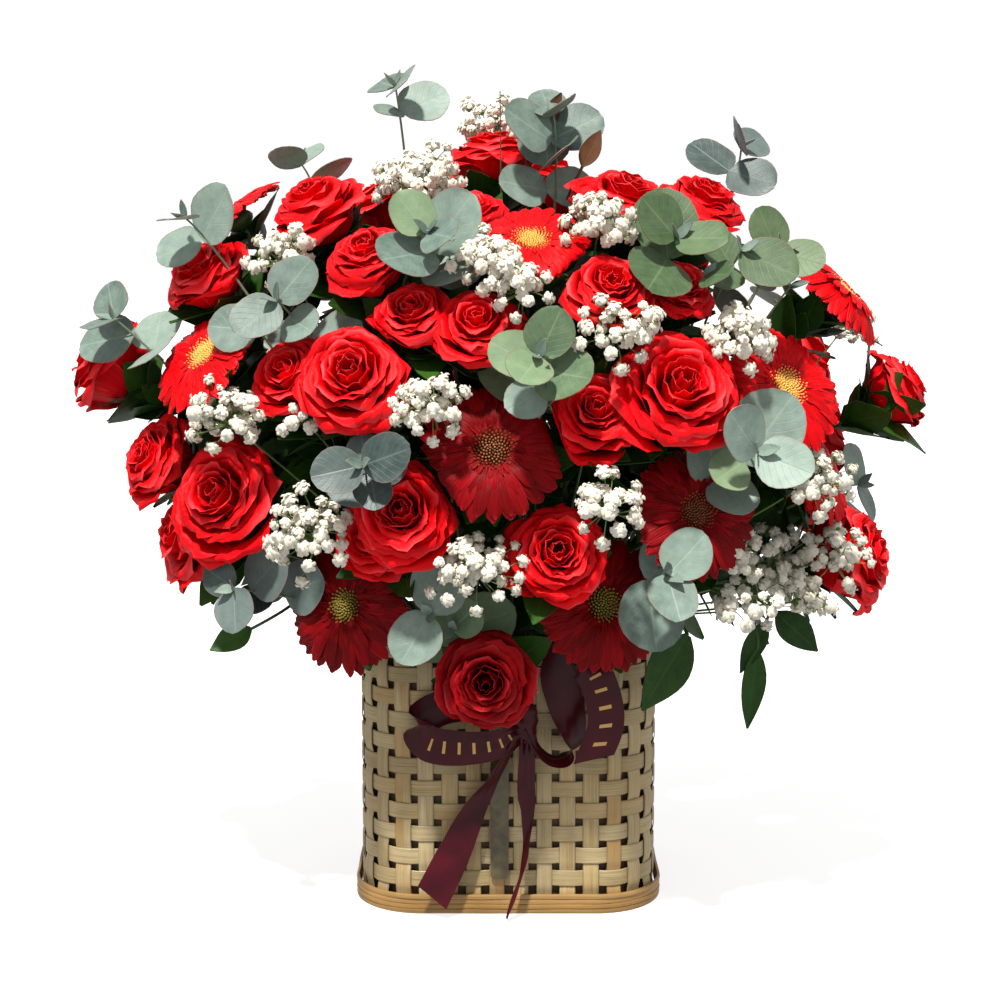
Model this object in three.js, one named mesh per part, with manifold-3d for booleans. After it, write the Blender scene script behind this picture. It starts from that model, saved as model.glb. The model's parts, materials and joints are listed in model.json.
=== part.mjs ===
import * as THREE from 'three';
import * as BufferGeometryUtils from 'three/addons/utils/BufferGeometryUtils.js';
import Module from 'manifold-3d';

const wasm = await Module();
wasm.setup();

// Basket: a rounded rectangle in plan, in millimetres, front towards -Y
const BASKET_HALF_WIDTH = 103.5;
const BASKET_HALF_DEPTH = 80;
const BASKET_CORNER = 44;
const BASKET_HEIGHT = 191;
const CORNER_STEPS = 4;

// Weave: an odd count of stakes lets one long weaver alternate on its own
const STAKES = 17;
const STAKE_WIDTH = 25;
const STAKE_THICK = 1.4;
const STAKE_TOP = 180.3;
const WEAVER_TURNS = 6;
const WEAVER_HEIGHT = 19;
const WEAVER_THICK = 1.2;
const WEAVER_BOTTOM = 15;
const WEAVER_TOP = 179;
const WEAVE_GAP = 0.35;

// Foot and rim
const FLOOR_THICK = 4;
const BAND_HEIGHT = 14;
const BAND_STRANDS = 3;
const BAND_INNER = 3.5;
const BAND_OUTER = 5.8;
const RIM_HALF = 2.6;

// Liner and foam
const LINER_OFFSET = -3.2;
const LINER_THICK = 1.2;
const LINER_TOP = 176;
const FOAM_TOP = 188;

// Gaps between neighbouring pieces, and the smallest detail that a join keeps
const GAP = 0.3;
const SMALLEST = 0.03;

// Way that blooms turned to the front look
const FRONT = new THREE.Vector3(0, -1, 0.2);

// Where the flower stems meet, inside the foam
const STEM_ROOT = new THREE.Vector3(0, 0, 190);
const STEM_RADIUS = 1.7;
const STEM_SIDES = 3;
const STEM_STEPS = 2;
const STEM_KNOT = 15;
const BUNDLE_LENGTH = 60;

// Ribbon
const RIBBON_THICK = 1.2;
const RIBBON_WIDTH = 25;
const KNOT = new THREE.Vector3(11, -91, 140);
const KNOT_SIZE = new THREE.Vector3(11, 10, 12);

// Front blooms: x, y, z of the middle, diameter, and how far it turns to the front.
// Roses in one row of the list are pressed together and make one piece.
const FRONT_ROSES = [
  [[-278, -20, 378, 58, 0]],
  [[-240, -60, 316, 62, 0.4]],
  [[-178, -116, 305, 82, 1], [-222, -50, 258, 62, 0.2]],
  [[-132, -40, 486, 66, 0.3]],
  [[-203, -65, 440, 60, 0.3]],
  [[-93, -158, 380, 72, 1], [-145, -125, 378, 58, 0.5]],
  [[-90, -118, 453, 60, 0.3]],
  [[-62, -140, 418, 52, 0.5], [-20, -152, 411, 60, 0.5]],
  [[-60, -160, 299, 68, 1], [-88, -125, 270, 58, 0.5]],
  [[-11, -10, 520, 62, 0]],
  [[52, -138, 440, 60, 0.5]],
  [[132, -40, 488, 58, 0.2]],
  [[102, -155, 370, 82, 1], [46, -158, 354, 60, 0.8]],
  [[30, -152, 267, 66, 1]],
  [[-15, -124, 176, 64, 3]],
  [[272, -20, 361, 48, 0]],
  [[240, -40, 245, 72, 0.2]],
  [[-14, -95, 475, 52, 0.2]],
  [[77, -75, 486, 74, 0.1]],
  [[108, -118, 434, 48, 0.3]],
];

const FRONT_GERBERAS = [
  [-199, -95, 393, 86, 0.3],
  [14, -118, 462, 78, 0.3],
  [180, -112, 369, 88, 0.6],
  [226, -50, 430, 78, 0],
  [-4, -160, 335, 92, 1],
  [-108, -95, 221, 88, 0.8],
  [62, -115, 226, 88, 0.8],
  [120, -135, 290, 84, 0.8],
  [205, -75, 312, 80, 0.2],
  [-189, -25, 482, 76, 0],
];

// Back and side blooms, in rows of roses pressed together
const BACK_ROSES = [
  [[-75, 150, 372, 78, 0], [-60, 145, 298, 76, 0], [-130, 112, 258, 78, 0], [-150, 120, 330, 78, 0]],
  [[78, 150, 376, 78, 0], [62, 145, 302, 76, 0], [130, 110, 262, 78, 0], [155, 118, 335, 78, 0]],
  [
    [-125, 105, 430, 76, 0], [-100, 45, 495, 76, 0], [-40, 75, 500, 76, 0],
    [35, 70, 505, 76, 0], [100, 45, 500, 76, 0], [125, 100, 440, 76, 0],
  ],
  [[-215, 40, 260, 74, 0], [-225, 40, 320, 70, 0], [-210, 50, 385, 72, 0], [-195, 20, 445, 66, 0]],
  [[215, 45, 270, 74, 0], [228, 45, 330, 72, 0], [210, 60, 390, 72, 0]],
];

const BACK_GERBERAS = [
  [0, 152, 430, 90, 0],
  [0, 130, 235, 90, 0],
];

// Eucalyptus: rows of sprigs that share one foot in the foam.
// Each sprig: x, y, z of its tip, leaf length, pairs of leaves, turn to the front
const EUCALYPTUS = [
  [[-215, -88, 482, 40, 3, 0.2], [-78, -30, 572, 38, 2, 0], [-150, -138, 430, 42, 3, 0.5]],
  [
    [-268, -70, 415, 40, 4, 0.1], [-184, -118, 238, 42, 3, 0.6],
    [-150, 40, 520, 40, 2, 0], [-92, -190, 330, 42, 3, 0.8],
  ],
  [[-52, -150, 474, 42, 3, 0.6], [30, -45, 552, 38, 3, 0], [18, -190, 398, 42, 4, 0.8]],
  [[108, -130, 470, 46, 2, 0.3], [178, -100, 460, 44, 4, 0.3], [160, -30, 530, 38, 2, 0]],
  [
    [158, -165, 335, 50, 3, 0.6], [102, -160, 255, 48, 2, 0.8],
    [255, 10, 290, 42, 2, 0], [-38, -128, 212, 40, 3, 0.7],
  ],
  [
    [-105, 165, 412, 44, 2, 0], [0, 195, 350, 44, 3, 0],
    [100, 165, 420, 44, 2, 0], [10, 120, 500, 42, 2, 0],
  ],
  [
    [-212, 105, 300, 42, 3, 0], [190, 90, 430, 44, 2, 0],
    [205, 110, 285, 44, 3, 0], [-180, 80, 440, 44, 2, 0],
  ],
];

// Dark leaves on stems of their own: base, tip, and width
const LONG_LEAVES = [
  [[170, -62, 204], [213, -66, 190], 25],
  [[162, -70, 196], [165, -74, 130], 18],
  [[122, -90, 200], [90, -100, 150], 34],
  [[-190, -78, 215], [-222, -84, 188], 22],
  [[-60, 120, 210], [-80, 140, 160], 26],
  [[60, 118, 212], [84, 138, 165], 26],
  [[24, -20, 538], [32, -24, 566], 13],
];

// Dry twig tips at the top
const DRY_TIPS = [[-6, -52, 566], [4, -30, 560]];

// Baby's breath: rows of heads that share one foot in the foam; x, y, z, radius, turn
const BREATH = [
  [[-58, -72, 500, 30, 0.3], [-12, -148, 452, 24, 0.6], [-148, -98, 452, 26, 0.4]],
  [[58, -122, 474, 26, 0.5], [8, -158, 436, 24, 0.8], [66, -165, 408, 30, 0.8], [146, -138, 402, 28, 0.6]],
  [[-182, -128, 348, 28, 0.5], [-124, -150, 278, 34, 0.8], [-48, -178, 362, 26, 1]],
  [[-20, -160, 254, 32, 1], [62, -178, 300, 26, 1], [198, -112, 308, 30, 0.5]],
  [[222, -78, 250, 30, 0.4], [176, -70, 236, 36, 0.5], [240, 20, 400, 26, 0]],
  [[-60, 170, 415, 30, 0], [10, 165, 300, 32, 0], [50, 165, 420, 30, 0], [-10, 40, 535, 28, 0]],
];

// Shape of a rose along its axis: ring radius, height, lobe depth, lobe turn, in radii
const ROSE_RINGS = [
  [0.96, -0.06, 0.04, 0],
  [1, 0.3, 0.12, 0],
  [0.68, 0.08, 0, 0],
  [0.65, 0.46, 0.14, 1],
  [0.38, 0.22, 0, 0],
  [0.34, 0.54, 0.16, 0],
];
const ROSE_RINGS_FAR = [
  [0.96, -0.06, 0.04, 0],
  [1, 0.3, 0.12, 0],
  [0.62, 0.1, 0, 0],
  [0.5, 0.5, 0.14, 1],
];
const ROSE_FOOT = -0.82;
const ROSE_HEART = 0.36;
const ROSE_PETALS = 5;
const ROSE_PETALS_FAR = 4;
const ROSE_REACH = 0.9;
const MATE_REACH = 0.78;

// Shape of a gerbera: radius and height at a petal's tip and at the notch beside it
const GERBERA_RINGS = [
  [[1, 0.06], [0.6, -0.02]],
  [[0.5, 0.04], [0.5, 0.04]],
  [[0.44, 0.12], [0.76, 0.2]],
  [[0.27, 0.1], [0.27, 0.1]],
];
const GERBERA_FOOT = -0.3;
const GERBERA_HEART = 0.17;
const GERBERA_PETALS = 10;

// Leaves: outlines in lengths along and widths across, from the base on the twig
const ROUND_LEAF = [
  [0, 0], [0.3, -0.46], [0.78, -0.42], [1, 0], [0.78, 0.42], [0.3, 0.46],
];
const POINTED_LEAF = [[0, 0], [0.25, -0.42], [0.6, -0.45], [1, 0], [0.6, 0.45], [0.25, 0.42]];
const LEAF_THICK = 1.6;
const LEAF_CUP = 0.05;
const STEM_LEAF = 44;
const STEM_LEAF_EVERY = 4;

// Twigs of eucalyptus and of baby's breath
const TWIG_RADIUS = 1.4;
const TWIG_STEPS = 4;
const PAIR_STEP = 17;
const LEAF_ROLLS = [0, 0.6, -0.6, 1.2];
const LEAF_TILTS = [0.5, 0.15, 0.95];
const SPRAY_RADIUS = 1.1;
const FLORET_RADIUS = 4.2;
const CORE_RADIUS = 3.6;
const FLORET_LEAN = -0.1;
const FLORET_LEAN_BACK = 0.05;
const HEAD_STEP = 5;
const HEAD_STEPS = 7;
const FLORET_SHRINKS = [1, 0.75, 0.55];
const PEG_LENGTH = 26;
const PEG_RADIUS = 3.2;
const PEG_TOP = 192;
const FOOT_SPREAD = [60, 44];
const FOOT_TURNS = [0, 0.25, -0.25, 0.5, -0.5, 0.8, -0.8, 1.1, -1.1];

// Ways to bend a stem clear of its neighbours
const PATH_SHIFTS = [0, 15, 30, 45];
const PATH_BACKS = [45, 25, 75, 110];
const PATH_HOOKS = [40, 60, 85];

const COLOURS = {
  cane: 0xb9a67f, honey: 0xc89a55, floor: 0xa58d62, liner: 0x2c2118, foam: 0x3f5a35,
  splint: 0x4d3f20, ribbon: 0x4d0a1c, rose: 0xc4081a, gerbera: 0xa20514, stem: 0x2f4f1c,
  eucalyptus: 0x8fa79b, breath: 0xeee8d8,
};

function solidOf(geometry) {
  const plain = geometry.clone();
  plain.deleteAttribute('normal');
  plain.deleteAttribute('uv');
  const merged = BufferGeometryUtils.mergeVertices(plain, 1e-3);
  return new wasm.Manifold(new wasm.Mesh({
    numProp: 3,
    vertProperties: new Float32Array(merged.attributes.position.array),
    triVerts: new Uint32Array(merged.index.array),
  }));
}

function geometryOf(solid) {
  const mesh = solid.getMesh();
  const geometry = new THREE.BufferGeometry();
  geometry.setAttribute('position', new THREE.BufferAttribute(new Float32Array(mesh.vertProperties), 3));
  geometry.setIndex(new THREE.BufferAttribute(new Uint32Array(mesh.triVerts), 1));
  return geometry;
}

function biggest(solid) {
  const pieces = solid.decompose();
  return pieces.reduce((best, piece) => (piece.volume() > best.volume() ? piece : best));
}

function joined(solids) {
  const sum = solids.reduce((all, solid) => all.add(solid));
  return biggest(solidOf(geometryOf(biggest(sum).simplify(SMALLEST))));
}

// Skin over rings of equally many points; foot and head close it, or the rings close on themselves
function skin(rings, foot, head) {
  const count = rings[0].length;
  const points = rings.flat().map((point) => [point.x, point.y, point.z]);
  const faces = [];
  const at = (ring, i) => ring * count + (i % count);
  const last = foot ? rings.length - 1 : rings.length;
  for (let ring = 0; ring < last; ring += 1) {
    const next = (ring + 1) % rings.length;
    for (let i = 0; i < count; i += 1) {
      faces.push(at(ring, i), at(ring, i + 1), at(next, i + 1));
      faces.push(at(ring, i), at(next, i + 1), at(next, i));
    }
  }
  if (foot) {
    const footIndex = points.push([foot.x, foot.y, foot.z]) - 1;
    const headIndex = points.push([head.x, head.y, head.z]) - 1;
    for (let i = 0; i < count; i += 1) {
      faces.push(footIndex, at(0, i + 1), at(0, i));
      faces.push(headIndex, at(rings.length - 1, i), at(rings.length - 1, i + 1));
    }
  }
  const geometry = new THREE.BufferGeometry();
  geometry.setAttribute('position', new THREE.Float32BufferAttribute(points.flat(), 3));
  geometry.setIndex(faces);
  return geometry;
}

const vector = (x, y, z) => new THREE.Vector3(x, y, z);

// A steady pick between 0 and 1 for each whole number
function pick(number) {
  const value = Math.sin(number * 12.9898 + 4.1) * 43758.5453;
  return value - Math.floor(value);
}

// Turned frame whose third direction is the axis
function frameAlong(centre, axis, turn = 0) {
  const helper = Math.abs(axis.z) < 0.9 ? vector(0, 0, 1) : vector(0, 1, 0);
  const side = helper.clone().cross(axis).normalize();
  const up = axis.clone().cross(side).normalize();
  const first = side.clone().multiplyScalar(Math.cos(turn)).addScaledVector(up, Math.sin(turn));
  const second = axis.clone().cross(first).normalize();
  return new THREE.Matrix4().makeBasis(first, second, axis).setPosition(centre);
}

// Points of the wall line, grown outwards by offset
function outline(offset, z) {
  const halfWidth = BASKET_HALF_WIDTH + offset;
  const halfDepth = BASKET_HALF_DEPTH + offset;
  const corner = BASKET_CORNER + offset;
  const points = [];
  for (let quarter = 0; quarter < 4; quarter += 1) {
    const signX = quarter === 0 || quarter === 3 ? 1 : -1;
    const signY = quarter < 2 ? 1 : -1;
    for (let step = 0; step <= CORNER_STEPS; step += 1) {
      const angle = (quarter + step / CORNER_STEPS) * Math.PI / 2;
      points.push(vector(
        signX * (halfWidth - corner) + corner * Math.cos(angle),
        signY * (halfDepth - corner) + corner * Math.sin(angle),
        z,
      ));
    }
  }
  return points;
}

const centreAt = (z) => vector(0, 0, z);

// Point, tangent and outward normal at a length along the wall line, from the middle of +X
function wallAt(length) {
  const straightX = 2 * (BASKET_HALF_WIDTH - BASKET_CORNER);
  const straightY = 2 * (BASKET_HALF_DEPTH - BASKET_CORNER);
  const arc = BASKET_CORNER * Math.PI / 2;
  const runs = [straightY / 2, arc, straightX, arc, straightY, arc, straightX, arc, straightY / 2];
  const total = runs.reduce((sum, run) => sum + run, 0);
  let rest = ((length % total) + total) % total;
  let point = vector(BASKET_HALF_WIDTH, 0, 0);
  let heading = Math.PI / 2;
  for (let i = 0; i < runs.length; i += 1) {
    const part = Math.min(rest, runs[i]);
    if (i % 2 === 0) {
      point = point.clone().add(vector(Math.cos(heading) * part, Math.sin(heading) * part, 0));
    } else {
      const turn = part / BASKET_CORNER;
      const inwards = vector(-Math.sin(heading), Math.cos(heading), 0);
      const middle = point.clone().addScaledVector(inwards, BASKET_CORNER);
      const arm = point.clone().sub(middle).applyAxisAngle(vector(0, 0, 1), turn);
      point = middle.add(arm);
      heading += turn;
    }
    rest -= part;
    if (rest <= 1e-9) break;
  }
  return {
    point,
    tangent: vector(Math.cos(heading), Math.sin(heading), 0),
    normal: vector(Math.sin(heading), -Math.cos(heading), 0),
    total,
  };
}

function stakeAt(index) {
  const total = wallAt(0).total;
  return wallAt((index + 0.5) * total / STAKES);
}

function slab(stake, width, thick, bottom, top) {
  const corner = (along, out, z) => stake.point.clone()
    .addScaledVector(stake.tangent, along * width / 2)
    .addScaledVector(stake.normal, out * thick / 2)
    .setZ(z);
  const ring = (z) => [corner(-1, 1, z), corner(-1, -1, z), corner(1, -1, z), corner(1, 1, z)].reverse();
  return skin([ring(bottom), ring(top)], stake.point.clone().setZ(bottom), stake.point.clone().setZ(top));
}

// Stakes grow out of the floor, as the spokes of a basket do
function basketStakes() {
  const floor = solidOf(skin([outline(BAND_INNER - GAP, 0), outline(BAND_INNER - GAP, FLOOR_THICK)],
    centreAt(0), centreAt(FLOOR_THICK)));
  const stakes = [];
  for (let i = 0; i < STAKES; i += 1) {
    stakes.push(solidOf(slab(stakeAt(i), STAKE_WIDTH, STAKE_THICK, FLOOR_THICK / 2, STAKE_TOP)));
  }
  return joined([floor, ...stakes]);
}

// One long weaver winds up the wall, over one stake and under the next
function basketWeaver() {
  const rise = (WEAVER_TOP - WEAVER_BOTTOM - WEAVER_HEIGHT) / WEAVER_TURNS;
  const reach = STAKE_THICK / 2 + WEAVER_THICK / 2 + WEAVE_GAP;
  const rings = [];
  const crossings = STAKES * WEAVER_TURNS + 1;
  for (let i = 0; i < crossings; i += 1) {
    const stake = stakeAt(i % STAKES);
    const side = i % 2 === 0 ? 1 : -1;
    for (const edge of [-1, 1]) {
      const middle = stake.point.clone()
        .addScaledVector(stake.tangent, edge * (STAKE_WIDTH / 2 + 0.6))
        .addScaledVector(stake.normal, side * reach);
      const low = WEAVER_BOTTOM + rise * (i + edge * 0.35) / STAKES;
      const corner = (out, up) => middle.clone()
        .addScaledVector(stake.normal, out * WEAVER_THICK / 2)
        .setZ(Math.max(low, WEAVER_BOTTOM) + (up > 0 ? WEAVER_HEIGHT : 0));
      rings.push([corner(1, -1), corner(-1, -1), corner(-1, 1), corner(1, 1)]);
    }
  }
  const middleOf = (ring) => ring[0].clone().add(ring[1]).add(ring[2]).add(ring[3]).multiplyScalar(0.25);
  return solidOf(skin(rings, middleOf(rings[0]), middleOf(rings[rings.length - 1])));
}

function baseBand() {
  const rings = [];
  const strand = BAND_HEIGHT / BAND_STRANDS;
  rings.push(outline(BAND_OUTER - 1.2, 0));
  for (let i = 0; i < BAND_STRANDS; i += 1) {
    rings.push(outline(BAND_OUTER, strand * (i + 0.5)));
    rings.push(outline(BAND_OUTER - 1.2, strand * (i + 1)));
  }
  rings.push(outline(BAND_INNER, BAND_HEIGHT));
  rings.push(outline(BAND_INNER, 0));
  return solidOf(skin(rings));
}

function rimBand() {
  const low = STAKE_TOP + GAP;
  return solidOf(skin([
    outline(RIM_HALF - 0.8, low), outline(RIM_HALF, (low + BASKET_HEIGHT) / 2),
    outline(RIM_HALF - 0.8, BASKET_HEIGHT), outline(-RIM_HALF, BASKET_HEIGHT), outline(-RIM_HALF, low),
  ]));
}

function liner() {
  const low = FLOOR_THICK + GAP;
  return solidOf(skin([
    outline(LINER_OFFSET, low), outline(LINER_OFFSET, LINER_TOP),
    outline(LINER_OFFSET - LINER_THICK, LINER_TOP), outline(LINER_OFFSET - LINER_THICK, low + LINER_THICK),
  ], centreAt(low), centreAt(low + LINER_THICK)));
}

function foam() {
  const low = FLOOR_THICK + LINER_THICK + 2 * GAP;
  const offset = LINER_OFFSET - LINER_THICK - GAP;
  return solidOf(skin([
    outline(offset, low), outline(offset, FOAM_TOP),
  ], centreAt(low), centreAt(FOAM_TOP)));
}

function frontSplint() {
  const face = -(BASKET_HALF_DEPTH + STAKE_THICK / 2 + WEAVE_GAP + WEAVER_THICK + GAP);
  const thick = 1.5;
  const ring = (z, inset) => [
    vector(-12.6 + inset, face - thick, z), vector(-inset, face - thick, z),
    vector(-inset, face, z), vector(-12.6 + inset, face, z),
  ];
  const middle = (z) => vector(-6.3, face - thick / 2, z);
  return solidOf(skin([ring(25, 2), ring(27, 0), ring(115, 0), ring(117, 2)], middle(25), middle(117)));
}

// Flat band along points; at each point a width and the direction of the width are given
function band(stations, thick = RIBBON_THICK) {
  const rings = [];
  for (let i = 0; i < stations.length; i += 1) {
    const [point, across, width] = stations[i];
    const before = stations[Math.max(i - 1, 0)][0];
    const after = stations[Math.min(i + 1, stations.length - 1)][0];
    const along = after.clone().sub(before).normalize();
    const wide = across.clone().addScaledVector(along, -across.dot(along)).normalize();
    const flat = along.clone().cross(wide).normalize();
    const corner = (w, t) => point.clone()
      .addScaledVector(wide, w * width / 2).addScaledVector(flat, t * thick / 2);
    rings.push([corner(-1, -1), corner(1, -1), corner(1, 1), corner(-1, 1)]);
  }
  return solidOf(skin(rings, stations[0][0], stations[stations.length - 1][0]));
}

function knot() {
  const point = (x, y, z) => KNOT.clone().add(vector(x * KNOT_SIZE.x, y * KNOT_SIZE.y, z * KNOT_SIZE.z));
  const rings = [[-0.7, 0.72], [0, 1], [0.7, 0.72]].map(([height, grow]) => {
    const ring = [];
    for (let i = 0; i < 8; i += 1) {
      const angle = i * Math.PI / 4;
      ring.push(point(Math.cos(angle) * grow, Math.sin(angle) * grow, height));
    }
    return ring;
  });
  return solidOf(skin(rings, point(0, 0, -1), point(0, 0, 1)));
}

function ribbonBow() {
  const up = vector(0, 0, 1);
  const lean = vector(0.25, 0, 1);
  const left = band([
    [vector(8, -93, 141), up, 14], [vector(-20, -87, 150), up, 22],
    [vector(-52, -88, 148), up, RIBBON_WIDTH], [vector(-64, -95, 141), up, RIBBON_WIDTH],
    [vector(-50, -103, 134), up, RIBBON_WIDTH],
    [vector(-20, -104, 130), up, 22], [vector(8, -97, 138), up, 14],
  ]);
  const right = band([
    [vector(12, -93, 143), up, 14], [vector(34, -88, 158), lean, 22],
    [vector(64, -90, 158), lean, RIBBON_WIDTH], [vector(77, -98, 146), lean, RIBBON_WIDTH],
    [vector(64, -105, 130), lean, RIBBON_WIDTH],
    [vector(38, -104, 126), up, 20], [vector(14, -97, 136), up, 14],
  ]);
  return joined([knot(), left, right, wideTail(), narrowTail()]);
}

function wideTail() {
  const tilt = vector(0.8, 0.1, 0.5);
  return band([
    [vector(6, -96, 132), vector(0.6, 1, 0.3), 9], [vector(-10, -93, 100), vector(0.8, 0.6, 0.4), 14],
    [vector(-26, -91, 68), tilt, 18], [vector(-42, -93, 38), tilt, 23],
    [vector(-56, -97, 14), tilt, RIBBON_WIDTH],
  ]);
}

function narrowTail() {
  return band([
    [vector(14, -96, 132), vector(1, 0.2, 0), 10], [vector(18, -94, 95), vector(1, 0.4, 0), 12],
    [vector(17, -91, 66), vector(0.8, -0.7, 0), 10], [vector(9, -93, 36), vector(0.3, -1, 0), 8],
    [vector(1, -99, 3), vector(0.1, -1, 0.1), 7],
  ]);
}

function axisOf(x, y, z, turn) {
  const out = vector(x, y, z).sub(STEM_ROOT).normalize();
  return out.addScaledVector(FRONT, turn).normalize();
}

function bloomsOf() {
  const blooms = [];
  const add = (row, kind, node, far) => {
    const [x, y, z, size, turn] = row;
    const axis = axisOf(x, y, z, turn);
    blooms.push({ kind, node, far, centre: vector(x, y, z), axis, radius: size / 2 });
  };
  const two = (number) => String(number).padStart(2, '0');
  FRONT_ROSES.forEach((group, i) => {
    group.forEach((row, k) => add(row, 'rose', `rose_${two(i + 1)}`, k > 0));
  });
  BACK_ROSES.forEach((group, i) => {
    group.forEach((row) => add(row, 'rose', `rose_bunch_back_${i + 1}`, true));
  });
  FRONT_GERBERAS.forEach((row, i) => add(row, 'gerbera', `gerbera_${two(i + 1)}`));
  BACK_GERBERAS.forEach((row, i) => add(row, 'gerbera', `gerbera_back_${i + 1}`));
  return blooms;
}

// Half size of a bloom along a direction
function extent(bloom, direction) {
  const along = Math.abs(bloom.axis.dot(direction));
  const high = bloom.radius * (bloom.kind === 'rose' ? 0.62 : 0.24);
  return Math.hypot(bloom.radius * Math.sqrt(Math.max(0, 1 - along * along)), high * along);
}

// Blooms push each other apart until they only touch; those of one piece are drawn together
function settle(blooms) {
  for (let round = 0; round < 60; round += 1) {
    for (let i = 0; i < blooms.length; i += 1) {
      for (let j = i + 1; j < blooms.length; j += 1) {
        const gap = blooms[j].centre.clone().sub(blooms[i].centre);
        const distance = gap.length();
        const direction = gap.divideScalar(distance);
        const room = extent(blooms[i], direction) + extent(blooms[j], direction);
        const mates = blooms[i].node === blooms[j].node;
        let move = 0;
        if (mates && j === i + 1) move = (MATE_REACH * room - distance) * 0.6;
        else if (distance < ROSE_REACH * room) move = (ROSE_REACH * room - distance) * 0.3;
        blooms[i].centre.addScaledVector(direction, -move / 2);
        blooms[j].centre.addScaledVector(direction, move / 2);
      }
    }
  }
}

// Planes between a bloom and each near neighbour that isn't of its own piece
function wallsOf(bloom, blooms) {
  const walls = [];
  for (const other of blooms) {
    if (other.node === bloom.node) continue;
    const gap = other.centre.clone().sub(bloom.centre);
    const distance = gap.length();
    if (distance > (bloom.radius + other.radius) * 1.1) continue;
    const direction = gap.divideScalar(distance);
    const own = extent(bloom, direction);
    const share = distance * own / (own + extent(other, direction));
    walls.push({ direction, reach: share - GAP / 2 });
  }
  return walls;
}

// Rings of a bloom in its own frame; one narrowing for each meridian keeps it behind the planes
function bloomRings(bloom, blooms) {
  const place = frameAlong(vector(0, 0, 0), bloom.axis, pick(bloom.radius + bloom.centre.x) * 6.28);
  const rose = bloom.kind === 'rose';
  const petals = rose ? (bloom.far ? ROSE_PETALS_FAR : ROSE_PETALS) : GERBERA_PETALS;
  const count = 2 * petals;
  const shape = rose ? (bloom.far ? ROSE_RINGS_FAR : ROSE_RINGS) : GERBERA_RINGS;
  const sizeAt = (ring, i) => {
    if (!rose) return shape[ring][i % 2];
    const [radius, height, lobe, turn] = shape[ring];
    const out = (i + turn) % 2 === 0;
    return [radius * (out ? 1 : 1 - lobe), height - (out ? 0 : lobe * 0.8)];
  };
  const walls = wallsOf(bloom, blooms);
  const rings = shape.map(() => []);
  for (let i = 0; i < count; i += 1) {
    const angle = i * 2 * Math.PI / count;
    let narrow = 1;
    for (let ring = 0; ring < shape.length; ring += 1) {
      const [radius, height] = sizeAt(ring, i);
      const arm = vector(Math.cos(angle), Math.sin(angle), 0).applyMatrix4(place);
      arm.multiplyScalar(radius * bloom.radius);
      const spine = bloom.axis.clone().multiplyScalar(height * bloom.radius);
      for (const wall of walls) {
        const lean = arm.dot(wall.direction);
        const room = wall.reach - spine.dot(wall.direction);
        if (lean > 1e-6 && lean * narrow > room) narrow = Math.max(room / lean, 0.12);
      }
    }
    for (let ring = 0; ring < shape.length; ring += 1) {
      const [radius, height] = sizeAt(ring, i);
      rings[ring].push(vector(
        Math.cos(angle) * radius * narrow * bloom.radius,
        Math.sin(angle) * radius * narrow * bloom.radius,
        height * bloom.radius,
      ));
    }
  }
  return { rings, place };
}

function bloomSolid(bloom, blooms) {
  const { rings, place } = bloomRings(bloom, blooms);
  const rose = bloom.kind === 'rose';
  const foot = vector(0, 0, bloom.radius * (rose ? ROSE_FOOT : GERBERA_FOOT));
  const head = vector(0, 0, bloom.radius * (rose ? ROSE_HEART : GERBERA_HEART));
  const geometry = skin(rings, foot, head);
  geometry.applyMatrix4(place);
  geometry.translate(bloom.centre.x, bloom.centre.y, bloom.centre.z);
  return solidOf(geometry);
}

const arrangement = new THREE.Group();
arrangement.name = 'flower_basket_arrangement';

function addPiece(name, solid, colour, roughness) {
  const material = new THREE.MeshStandardMaterial({ color: colour, roughness, metalness: 0 });
  const mesh = new THREE.Mesh(geometryOf(solid), material);
  mesh.name = name;
  arrangement.add(mesh);
}

const blooms = bloomsOf();
settle(blooms);

addPiece('basket_stakes', basketStakes(), COLOURS.floor, 0.6);
addPiece('basket_weaver', basketWeaver(), COLOURS.cane, 0.6);
addPiece('basket_base_band', baseBand(), COLOURS.honey, 0.45);
addPiece('basket_rim_band', rimBand(), COLOURS.honey, 0.5);
addPiece('basket_liner', liner(), COLOURS.liner, 0.4);
addPiece('front_splint', frontSplint(), COLOURS.splint, 0.3);
addPiece('ribbon_bow', ribbonBow(), COLOURS.ribbon, 0.35);

const taken = [];

function keepClearOf(solid, node) {
  taken.push({ solid, node, box: solid.boundingBox() });
}

// Volume that a solid shares with what is placed already, other than its own piece
function crossing(solid, node) {
  const box = solid.boundingBox();
  let volume = 0;
  for (const other of taken) {
    if (other.node === node) continue;
    const apart = [0, 1, 2].some((k) => other.box.min[k] > box.max[k] || other.box.max[k] < box.min[k]);
    if (!apart) volume += solid.intersect(other.solid).volume();
  }
  return volume;
}

for (const mesh of arrangement.children) keepClearOf(solidOf(mesh.geometry), mesh.name);

const bloomNodes = [...new Set(blooms.map((bloom) => bloom.node))];
for (const node of bloomNodes) {
  const members = blooms.filter((bloom) => bloom.node === node);
  const solid = joined(members.map((bloom) => bloomSolid(bloom, blooms)));
  keepClearOf(solid, node);
  addPiece(node, solid, COLOURS[members[0].kind], 0.55);
}

// Path through three points of control, with its length shared out evenly in the parameter
function curve(start, control, end, steps) {
  const bend = new THREE.QuadraticBezierCurve3(start, control, end);
  return bend.getPoints(steps);
}

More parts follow.
